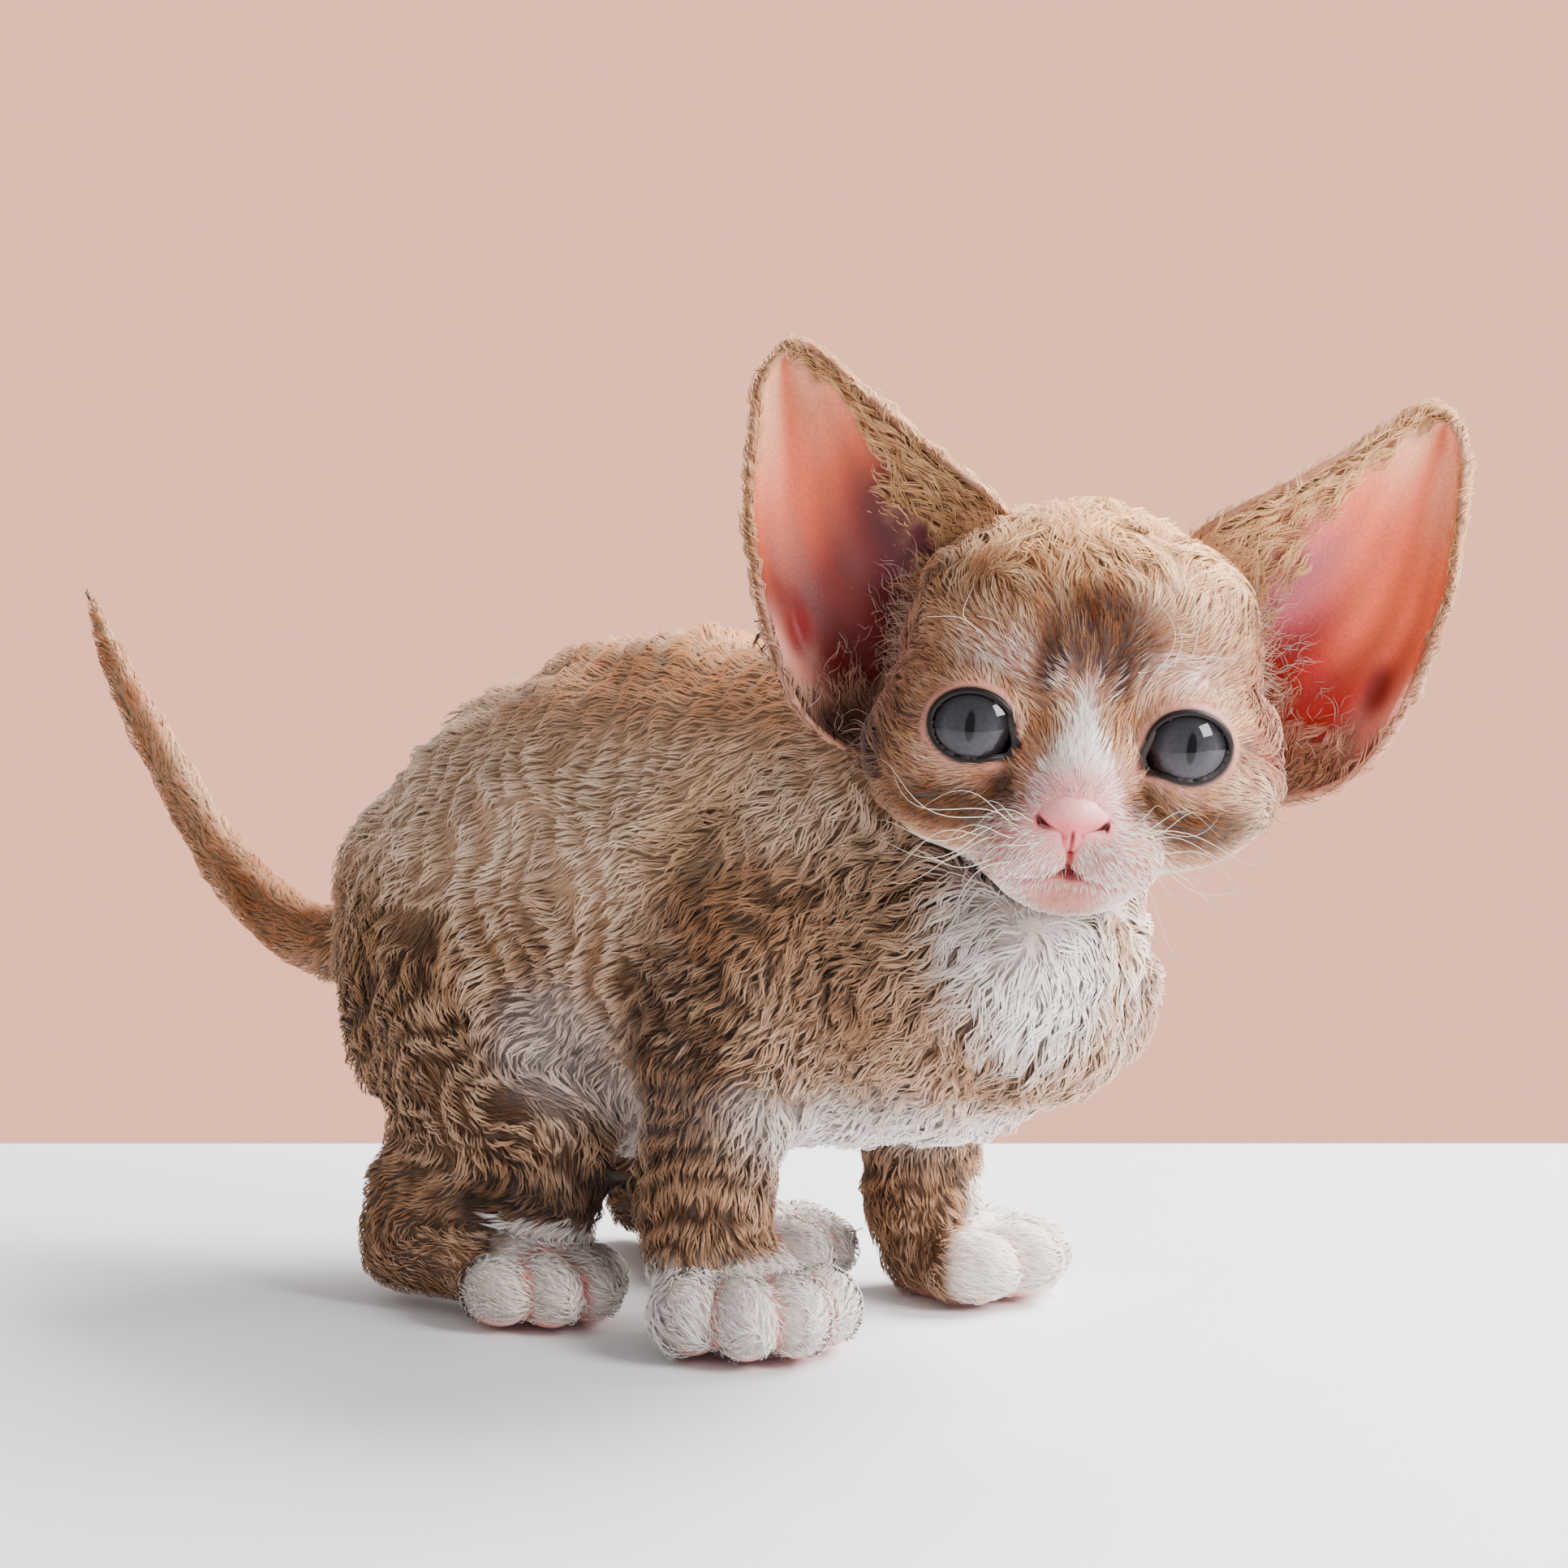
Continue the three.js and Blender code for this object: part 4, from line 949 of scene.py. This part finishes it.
rosy = layered(
    paint(222, 108, 112),
    (paint(234, 158, 156), smoothstep(leather[:, 2], -12, -9.5)),
    (paint(232, 164, 160), smoothstep(leather[:, 2], -9.6, -7.6)),
    # painted shade inside the nostrils and along the groove
    (paint(70, 4, 10), smoothstep(in_slit, 0.15, 0.6)),
    (paint(110, 14, 20), 1.8 * groove),
)
painted(nose_mesh, rosy)
leather_finish = coat_like(
    "nose_leather", 0.35, 0.12, Roughness=0.42, Subsurface_Weight=0.15, Subsurface_Scale=0.001
)
nose_mesh.materials.append(leather_finish)
nose_mesh.shade_smooth()
nose = shown(nose_mesh, "nose_pad")
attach(nose, "root")
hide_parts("nose")

# The eyes: clear wet balls that sit in the sockets behind the lids, blue-grey as all kittens' are, with fine
# fibres and a dark edge to the iris and a narrow upright pupil. The upper half is painted darker as the lid's
# shade, and the lower half is painted paler, as the light gathered by the clear front.
IRIS, PUPIL_WIDE, PUPIL_HIGH = 6.0, 0.72, 2.3
IRIS_RINGS = [
    (0.0, (46, 45, 49)), (0.3, (54, 53, 58)), (0.6, (62, 60, 66)), (0.78, (34, 32, 36)), (0.9, (4, 3, 3)),
]


def eye_finish():
    made, shader, tree = material(
        "eye", Roughness=0.6, Specular_IOR_Level=0.0, Coat_Weight=1.0, Coat_IOR=1.36, Coat_Roughness=0.02
    )
    gaze = node(tree, "ShaderNodeAttribute", attribute_name="gaze")
    flat = node(tree, "ShaderNodeVectorMath", operation="MULTIPLY")
    flat.inputs[1].default_value = (0, 1 / IRIS, 1 / IRIS)
    away = node(tree, "ShaderNodeVectorMath", operation="LENGTH")
    slit = node(tree, "ShaderNodeVectorMath", operation="MULTIPLY")
    slit.inputs[1].default_value = (0, 1 / PUPIL_WIDE, 1 / PUPIL_HIGH)
    in_slit = node(tree, "ShaderNodeVectorMath", operation="LENGTH")
    rings = node(tree, "ShaderNodeValToRGB")
    while len(rings.color_ramp.elements) < len(IRIS_RINGS):
        rings.color_ramp.elements.new(0.5)
    for stop, (spot, colour) in zip(rings.color_ramp.elements, IRIS_RINGS):
        stop.position, stop.color = spot, (*paint(*colour), 1)
    fibres = node(tree, "ShaderNodeTexNoise", Scale=1.4, Detail=5)
    lift = node(tree, "ShaderNodeMapRange", From_Min=0.3, From_Max=0.7, To_Min=0.82, To_Max=1.18)
    streaked = node(tree, "ShaderNodeVectorMath", operation="SCALE")
    height = node(tree, "ShaderNodeSeparateXYZ")
    # painted shade of the lid over the upper iris, and painted light on the lower iris
    painted_lid_shade = node(tree, "ShaderNodeMapRange", From_Min=4.2, From_Max=0, To_Min=0.33, To_Max=1.02)
    lit = node(tree, "ShaderNodeVectorMath", operation="SCALE")
    edge = node(tree, "ShaderNodeMapRange", From_Min=0.8, From_Max=1.1)
    hole = node(tree, "ShaderNodeMix", data_type="RGBA", A=(0.002, 0.002, 0.003, 1))
    join(
        tree,
        (gaze, "Vector", flat, "Vector"),
        (flat, "Vector", away, "Vector"),
        (gaze, "Vector", slit, "Vector"),
        (slit, "Vector", in_slit, "Vector"),
        (away, "Value", rings, "Fac"),
        (gaze, "Vector", fibres, "Vector"),
        (fibres, "Fac", lift, "Value"),
        (rings, "Color", streaked, "Vector"),
        (lift, "Result", streaked, "Scale"),
        (gaze, "Vector", height, "Vector"),
        (height, "Z", painted_lid_shade, "Value"),
        (streaked, "Vector", lit, "Vector"),
        (painted_lid_shade, "Result", lit, "Scale"),
        (in_slit, "Value", edge, "Value"),
        (edge, "Result", hole, "Factor"),
        (lit, "Vector", hole, "B"),
        (hole, "Result", shader, "Base Color"),
    )
    return made


eye_material = eye_finish()
for name, side in (("left", 1), ("right", -1)):
    eye_mesh, ways = ball(64, 40)
    put_places(eye_mesh, from_head(from_eye(ways * EYE_RADIUS, side)))
    gaze = eye_mesh.attributes.new("gaze", "FLOAT_VECTOR", "POINT")
    gaze.data.foreach_set("vector", (ways * EYE_RADIUS).astype(np.float32).ravel())
    eye_mesh.materials.append(eye_material)
    eye_mesh.shade_smooth()
    eye = shown(eye_mesh, "eyeball_" + name)
    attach(eye, "root")
    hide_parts("eye_" + name)


# The rims of the lids: bare dark skin round the opening, wet at its edge and drawn to a point at the inner
# corner. Each is a ring that lies on the eye, made as the fine tubes of coat and whiskers are.
RIM_WIDE, RIM_HIGH = 0.52, 0.45


def tubes(name, paths, ups, widths, heights, colours, sides=3, looped=False):
    """A mesh of many tubes. paths is tube by step by 3 in the layout, ups points out of the skin, widths and
    heights are half sizes, and colours is tube by step by 3. A tube ends in a point or closes into a ring."""
    count, steps = paths.shape[:2]
    along = unit(np.roll(paths, -1, 1) - np.roll(paths, 1, 1) if looped else np.gradient(paths, axis=1))
    across = unit(np.cross(ups, along))
    over = np.cross(along, across)
    rings = steps if looped else steps - 1
    angles = np.pi / 2 + 2 * np.pi * np.arange(sides) / sides
    spots = (
        paths[:, :rings, None]
        + across[:, :rings, None] * (np.cos(angles)[:, None] * widths[:, :rings, None, None])
        + over[:, :rings, None] * (np.sin(angles)[:, None] * heights[:, :rings, None, None])
    ).reshape(count, rings * sides, 3)
    shades = np.repeat(colours[:, :rings], sides, axis=1)
    leans = np.repeat(ups[:, :rings], sides, axis=1)
    if not looped:
        spots = np.concatenate((spots, paths[:, -1:]), axis=1)
        shades = np.concatenate((shades, colours[:, -1:]), axis=1)
        leans = np.concatenate((leans, ups[:, -1:]), axis=1)
    off_middle = spots - np.repeat(paths, [sides] * rings + [1] * (not looped), axis=1)
    leans = leans + 0.3 * off_middle / widths.max()
    faces, last = [], (rings - 1) * sides
    for r in range(rings if looped else rings - 1):
        for s in range(sides):
            a, b = r * sides + s, r * sides + (s + 1) % sides
            c, d = ((r + 1) % rings) * sides + (s + 1) % sides, ((r + 1) % rings) * sides + s
            faces += [(a, b, c), (a, c, d)]
    if not looped:
        faces += [(last + s, last + (s + 1) % sides, rings * sides) for s in range(sides)]
        faces += [(0, s + 1, s) for s in range(1, sides - 1)]
    faces = np.array(faces)
    corners = (faces[None] + (np.arange(count) * spots.shape[1])[:, None, None]).reshape(-1)
    mesh = bpy.data.meshes.new(name)
    mesh.vertices.add(count * spots.shape[1])
    mesh.loops.add(len(corners))
    mesh.polygons.add(len(corners) // 3)
    mesh.loops.foreach_set("vertex_index", corners.astype(np.int32))
    mesh.polygons.foreach_set("loop_start", np.arange(0, len(corners), 3, dtype=np.int32))
    mesh.polygons.foreach_set("use_smooth", np.ones(len(corners) // 3, bool))
    put_places(mesh, spots.reshape(-1, 3))
    painted(mesh, shades.reshape(-1, 3))
    mesh.validate()
    if not looped:
        mesh.normals_split_custom_set_from_vertices(unit(leans.reshape(-1, 3)))
    return mesh, faces


angles = np.arange(0, 360, 3.0)
rims = []
for side in (1, -1):
    reach = opening_reach(angles) + 0.25
    outwards, up = reach * np.cos(np.radians(angles)), reach * np.sin(np.radians(angles))
    forward = np.sqrt(np.maximum((EYE_RADIUS + 0.2) ** 2 - outwards**2 - up**2, 0.5))
    rims.append(from_head(from_eye(np.column_stack((forward, outwards, up))[::side], side)))
rims = np.array(rims)
middles = from_head([eye_middle(side) for side in (1, -1)])
sizes = np.ones(rims.shape[:2])
dark_rim = np.tile(paint(24, 14, 15), (*rims.shape[:2], 1))
outwards = rims - middles[:, None]
rim_mesh, _ = tubes("lid_rims", rims, outwards, sizes * RIM_WIDE, sizes * RIM_HIGH, dark_rim, 8, True)
rim_mesh.materials.append(coat_like("lid_rim", 0.4, 0.05, Roughness=0.45, Specular_IOR_Level=0.3))
rim_piece = shown(rim_mesh, "lid_rims")
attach(rim_piece, "root")

# The roots of the coat. No tufts grow on the lids, the nose, the lips, the pads of the paws and inside the
# ears. Elsewhere each face of the skin carries as many as its area and the kind of coat on it ask for.
bare = np.maximum(in_cup * bald, 1 - smoothstep(skin_places[:, 2], 1.6, 2.6))
for side in (1, -1):
    bare = np.maximum(bare, 1 - smoothstep(lid_reach(beside, side), 0.6, 1.3))
leathery = 1 - smoothstep(distance_to(beside, NOSE_MASSES, 2), -0.2, 0.3)
bare = np.maximum(bare, leathery * (1 - 0.5 * smoothstep(beside[:, 2], -10.5, -8.5)))
bare = np.maximum(bare, (1 - smoothstep(to_mouth, 0.3, 0.9)) * in_front * (1 - along_mouth))
bare = np.maximum(bare, np.maximum(lips, 0.5 * near(beside, (17, 0, -21.5), (8, 5, 2.6), 0.4)))
skin_mesh.calc_loop_triangles()
corners = read(skin_mesh.loop_triangles, "vertices", 3, int)
spots = skin_places[corners]
areas = np.linalg.norm(np.cross(spots[:, 1] - spots[:, 0], spots[:, 2] - spots[:, 0]), axis=1) / 2
LENGTH, HIGH, WIDE, MANY, LOCK, TOGETHER, WAVE, RIPPLE = range(8)
many = (kinds_here[:, MANY] * (1 - bare))[corners].mean(axis=1) * areas

# The map of the coat. The skin is unwrapped in its own shape, and each tuft is a small patch on that map, at
# the place of its root.
bpy.context.view_layer.objects.active = skin
skin_mesh.uv_layers.new(name="OFBake")
bpy.ops.object.mode_set(mode="EDIT")
bpy.ops.mesh.select_all(action="SELECT")
bpy.ops.uv.smart_project(angle_limit=1.2, island_margin=0.004)
bpy.ops.object.mode_set(mode="OBJECT")
skin_mesh.calc_loop_triangles()
loops = read(skin_mesh.loop_triangles, "loops", 3, int)
unwrap = read(skin_mesh.uv_layers["OFBake"].data, "uv", 2)[loops]

# The coat itself: hair so fine and curled that it stands in tufts, which taper, lie along the body over each
# other and are drawn together in locks. The locks bend aside, and rise and sink in the waves of the coat.
CREST, CURL = 4.0, 7.0  # from one wave of the coat to the next, and from one bend of a lock to the next
PATCH = 0.003  # the width of a tuft's patch on the map
MOST_TRIANGLES, KEPT_APART, FLATTER = 190000, 0.25, 0.55

draw = np.random.default_rng(7)
count = int(many.sum())
chosen = np.searchsorted(np.cumsum(many), (np.arange(count) + draw.uniform(0, 1, count)) * many.sum() / count)
chosen = np.minimum(chosen, len(corners) - 1)
u, v = draw.uniform(0, 1, (2, count))
u, v = np.where(u + v > 1, 1 - u, u), np.where(u + v > 1, 1 - v, v)
weights = np.column_stack((1 - u - v, u, v))[..., None]
roots = (skin_places[corners[chosen]] * weights).sum(axis=1)
root_uv = (unwrap[chosen] * weights).sum(axis=1)
kinds = (kinds_here[corners[chosen]] * weights).sum(axis=1)
root_shares = (shares[corners[chosen]] * weights).sum(axis=1)
region = root_shares.argmax(axis=1)
skin_tree = tree_of(skin_places)
guides = np.flatnonzero(draw.uniform(0, 1, count) < 1 / (kinds[:, LOCK] ** 2 * kinds[:, MANY]))
leader = guides[nearest(tree_of(roots[guides]), roots)[0]]

length = kinds[:, LENGTH] * draw.uniform(0.75, 1.2, count)
lock_high = draw.uniform(0.75, 1.15, count)[leader]
lock_tone = draw.normal(0, 1, count)[leader]
lock_turn = draw.uniform(0, 2 * np.pi, count)[leader]
tone = draw.normal(0, 1, count)


def waves(places, run):
    """The crests and troughs of the coat, from 0 to 1, in short bars across its lie."""
    unevenness = 2.2 * swell(places, 20, 31) + 0.9 * swell(places, 7, 32)
    return 0.5 + 0.5 * np.sin(2 * np.pi * run / CREST + unevenness)


def grown(chosen, steps):
    """The paths of some tufts over the skin, with the skin's normal and the coat's crests at each step."""
    at = roots[chosen].copy()
    paths, ups, crests = (np.empty((len(chosen), steps, *more)) for more in ((3,), (3,), ()))
    step = length[chosen] / (steps - 1)
    for k in range(steps):
        beneath, _ = nearest(skin_tree, at)
        normal, s = skin_normals[beneath], k / (steps - 1)
        at = at - normal * ((at - skin_places[beneath]) * normal).sum(axis=1)[:, None]
        crest = waves(at, run[beneath])
        swing = np.sin(2 * np.pi * s * length[chosen] / CURL + lock_turn[chosen]) * min(1, 2 * s)
        high = kinds[chosen, HIGH] * lock_high[chosen] * (1 - (1 - s) ** 2.2)
        high *= 1 - kinds[chosen, RIPPLE] * (1 - crest) * 0.8
        paths[:, k] = at + np.cross(normal, skin_lie[beneath]) * (kinds[chosen, WAVE] * swing)[:, None]
        paths[:, k] += normal * (high + (-0.25 if k == 0 else 0.08))[:, None]
        ups[:, k], crests[:, k] = normal, crest
        at = at + skin_lie[beneath] * step[:, None]
    return paths, ups, crests


coat_finish = coat_like(
    "coat", 0.25, 0.05, Roughness=0.7, Specular_IOR_Level=0.2, Sheen_Weight=0.12, Sheen_Roughness=0.4
)
for i, kind in enumerate(regions):
    long = KINDS[kind][LENGTH]
    steps = 5 if long > 5 else 4 if long > 3.3 else 3
    mine = np.flatnonzero(region == i)
    needed = np.union1d(mine, leader[mine])
    paths, ups, crests = grown(needed, steps)
    spot, lead = np.searchsorted(needed, mine), np.searchsorted(needed, leader[mine])
    s = np.linspace(0, 1, steps)
    drawn = kinds[mine, TOGETHER][:, None] * s**1.4
    offset = (paths[spot, 0] - paths[lead, 0])[:, None] * KEPT_APART
    paths = paths[spot] * (1 - drawn[..., None]) + (paths[lead] + offset) * drawn[..., None]
    paths[..., 2] = np.maximum(paths[..., 2], OVER_FLOOR)
    ups, crests = ups[spot], crests[spot]
    tips, base = coat_colours(roots[mine], root_shares[mine])
    ripple = kinds[mine, RIPPLE][:, None]
    share = np.clip(0.3 + 0.6 * s[None] + 1.1 * ripple * (crests - 0.6) + 0.08 * tone[mine, None], 0, 1)
    colours = base[:, None] * (1 - share[..., None]) + tips[:, None] * share[..., None]
    apart = 0.11 if kind in ("face", "muzzle", "crown", "tuft", "paw") else 0.05
    # the troughs of the waves are painted darker as shade, besides each lock's and tuft's own tone
    tone_and_trough_shade = 1 - 0.2 * ripple * (1 - crests) + 0.06 * lock_tone[mine, None] + apart * tone[mine, None]
    colours = np.clip(colours * tone_and_trough_shade[..., None], 0, 1)
    taper = np.interp(s, (0, 0.3, 0.7, 1), (0.7, 1, 0.75, 0))
    widths = kinds[mine, WIDE][:, None] * taper * draw.uniform(0.75, 1.25, len(mine))[:, None]
    parts = -(-len(mine) // (MOST_TRIANGLES // (6 * (steps - 2) + 4)))
    order = np.argsort(paths[:, 0, 0]) if parts > 1 else np.arange(len(mine))
    for n, part in enumerate(np.array_split(order, parts)):
        wide = widths[part]
        mesh, faces = tubes("coat", paths[part], ups[part], wide, wide * FLATTER, colours[part])
        ring = np.append(np.repeat(np.arange(steps - 1), 3), steps - 1) / (steps - 1) - 0.5
        turn = np.append(np.tile((0, 1, -1), steps - 1), 0) * 0.5
        patch = np.column_stack((turn, ring))[faces.ravel()] * PATCH
        spread = np.clip(root_uv[mine[part]][:, None] + patch[None], 0, 1).astype(np.float32)
        mesh.uv_layers.new(name="OFBake").data.foreach_set("uv", spread.ravel())
        mesh.materials.append(coat_finish)
        piece = shown(mesh, "coat_" + kind + ("_" + str(n + 1) if parts > 1 else ""))
        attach(piece, "root")

# The long hair of the ears: soft single curls that grow from the inner margin and the foot of each ear into
# its cup, and paler ones on the temple below it, which hide the edge between ear and cheek.
FURNISHINGS, TEMPLE_CURLS, FURNISHING_WIDE, FURNISHING_STEPS = 190, 460, 0.07, 8
FURNISHING_CURL, TEMPLE_CURL = 0.16, 0.2


def curled(starts, ways, lengths, steps, bend, seed):
    """Paths that set out each its own way and curl aside as they go."""
    turns = np.random.default_rng(seed)
    across = unit(np.cross(ways, turns.normal(size=ways.shape)))
    over = np.cross(ways, across)
    s = np.linspace(0, 1, steps)[None, :, None]
    phase = turns.uniform(0, 2 * np.pi, len(starts))[:, None, None]
    round_about = across[:, None] * (np.cos(5 * s + phase) - np.cos(phase))
    round_about += over[:, None] * (np.sin(5 * s + phase) - np.sin(phase))
    return starts[:, None] + (ways[:, None] * s + bend * round_about * s**0.5) * lengths[:, None, None]


def tapered(count, steps, stops, sizes, wide):
    """Half widths along each of a number of hairs, from sizes at stops along them."""
    return wide * np.tile(np.interp(np.linspace(0, 1, steps), stops, sizes), (count, 1))


strands, strand_colours = [], []
for side in (1, -1):
    inner = draw.uniform(0, 1, FURNISHINGS) < 0.5
    across = np.where(inner, draw.uniform(0.36, 0.56, FURNISHINGS), draw.uniform(0.5, 0.97, FURNISHINGS))
    along = np.where(inner, draw.uniform(0.2, 0.36, FURNISHINGS), draw.uniform(0.2, 0.36, FURNISHINGS))
    spots = ear_surface(across, along, side)
    outwards = np.where(inner, 0.8, 0.25) + 0.3 * draw.normal(size=FURNISHINGS)
    forwards = 0.35 + 0.15 * draw.normal(size=FURNISHINGS)
    upwards = 0.6 + 0.3 * draw.normal(size=FURNISHINGS)
    ways = unit(np.column_stack((forwards, side * outwards, upwards)))
    lengths = np.where(inner, 5.0, 4.5) * draw.uniform(0.6, 1.25, FURNISHINGS)
    strands.append(curled(spots, ways, lengths, FURNISHING_STEPS, FURNISHING_CURL, 60 + side))
    pale = np.where(inner, draw.uniform(0.5, 1, FURNISHINGS), draw.uniform(0, 0.6, FURNISHINGS))
    at_foot = 1 - smoothstep(along + 0.08 * draw.normal(size=FURNISHINGS), 0.2, 0.28)
    # painted shade: the right ear's curls are browner at the foot, the left ear's, in the light from behind,
    # paler
    foot_shade_by_side = BROWN if side < 0 else TAN
    strand_colours.append(
        layered(paint(176, 120, 100), (paint(226, 190, 188), pale), (foot_shade_by_side, 0.85 * at_foot * ~inner))
    )
    edge = by_ear * (beside[:, 1] * side > 0) * smoothstep(faces_front, -0.3, 0.3)
    edge = edge * (beside[:, 2] > -9) * (beside[:, 2] < 26)
    chosen = np.random.default_rng(90 + side).choice(len(beside), TEMPLE_CURLS, p=edge / edge.sum())
    temple = beside[chosen]
    ways = np.column_stack([0.35 + 0 * chosen, side * 0.9 + 0 * chosen, 0.15 + 0.02 * temple[:, 2]])
    ways = unit(ways + 0.25 * draw.normal(size=ways.shape))
    lengths = 5.5 * draw.uniform(0.5, 1.2, TEMPLE_CURLS)
    strands.append(curled(temple, ways, lengths, FURNISHING_STEPS, TEMPLE_CURL, 80 + side))
    high_up = smoothstep(temple[:, 2] + 3 * draw.normal(size=TEMPLE_CURLS), 8, 18)
    low_down = 1 - smoothstep(temple[:, 2] + 2 * draw.normal(size=TEMPLE_CURLS), -5, 3)
    strand_colours.append(
        layered(paint(232, 196, 178), (paint(196, 140, 98), high_up), (BROWN, 0.8 * low_down))
    )
strands, tint = np.concatenate(strands), np.concatenate(strand_colours)
ups = np.tile(head_turned[:, 0], (*strands.shape[:2], 1))
taper = tapered(len(strands), FURNISHING_STEPS, (0, 0.3, 1), (0.8, 1, 0), FURNISHING_WIDE)
shade = np.linspace(0.55, 1, FURNISHING_STEPS)[None, :, None]
strand_mesh, _ = tubes("ear_furnishings", from_head(strands), ups, taper, taper * 0.7, tint[:, None] * shade)
strand_mesh.materials.append(coat_finish)
furnishings = shown(strand_mesh, "ear_furnishings")
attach(furnishings, "root")

# Whiskers and brows: pale stiff hairs, short, curled and easily broken, as on every cat of the breed. The
# whiskers stand in rows on each pad, longer towards the cheek, and the brows stand over the eyes.
WHISKER_WIDE, WHISKER_STEPS, WHISKER_ROWS, BROW_HAIRS = 0.065, 14, 4, 6
WHISKER_CURL, WHISKER_DROOP = 0.19, 0.12

starts, ways, lengths = [], [], []
for side in (1, -1):
    for row in range(WHISKER_ROWS):
        for column in range(WHISKER_ROWS):
            y, z = 5.2 + 1.7 * column, -12.2 - 1.5 * row
            starts.append((22.5 - 0.28 * (y - 4) ** 1.4, side * y, z))
            ways.append((0.35 - 0.16 * column, side * 0.9, 0.12 - 0.22 * row + 0.1 * column))
            lengths.append(9 + 3.2 * column)
    for k in range(BROW_HAIRS):
        starts.append((17.5 - 0.4 * k, side * (7.5 + 1.6 * k), 8.6 + 0.5 * k))
        ways.append((0.5, side * (0.1 + 0.12 * k), 0.85))
        lengths.append(7 + 5 * ((k * 2) % 3) / 2)
starts, ways, lengths = np.array(starts), np.array(ways), np.array(lengths, float)
touched, _ = nearest(tree_of(beside), starts)
starts = beside[touched]
ways = unit(ways + 0.15 * draw.normal(size=ways.shape))
lengths *= draw.uniform(0.6, 1.2, len(lengths))
whiskers = curled(starts, ways, lengths, WHISKER_STEPS, WHISKER_CURL, 77)
whiskers[..., 2] -= np.linspace(0, 1, WHISKER_STEPS)[None] ** 2 * lengths[:, None] * WHISKER_DROOP
taper = tapered(len(starts), WHISKER_STEPS, (0, 0.1, 1), (1, 1, 0), WHISKER_WIDE)
ups = np.tile(head_turned[:, 0], (*whiskers.shape[:2], 1))
cream = np.tile(paint(246, 232, 212), (*whiskers.shape[:2], 1))
whisker_mesh, _ = tubes("whiskers", from_head(whiskers), ups, taper, taper, cream, 4)
whisker_mesh.materials.append(coat_like("whisker", 0.5, 0.01, Roughness=0.35))
whisker_piece = shown(whisker_mesh, "whiskers")
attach(whisker_piece, "root")
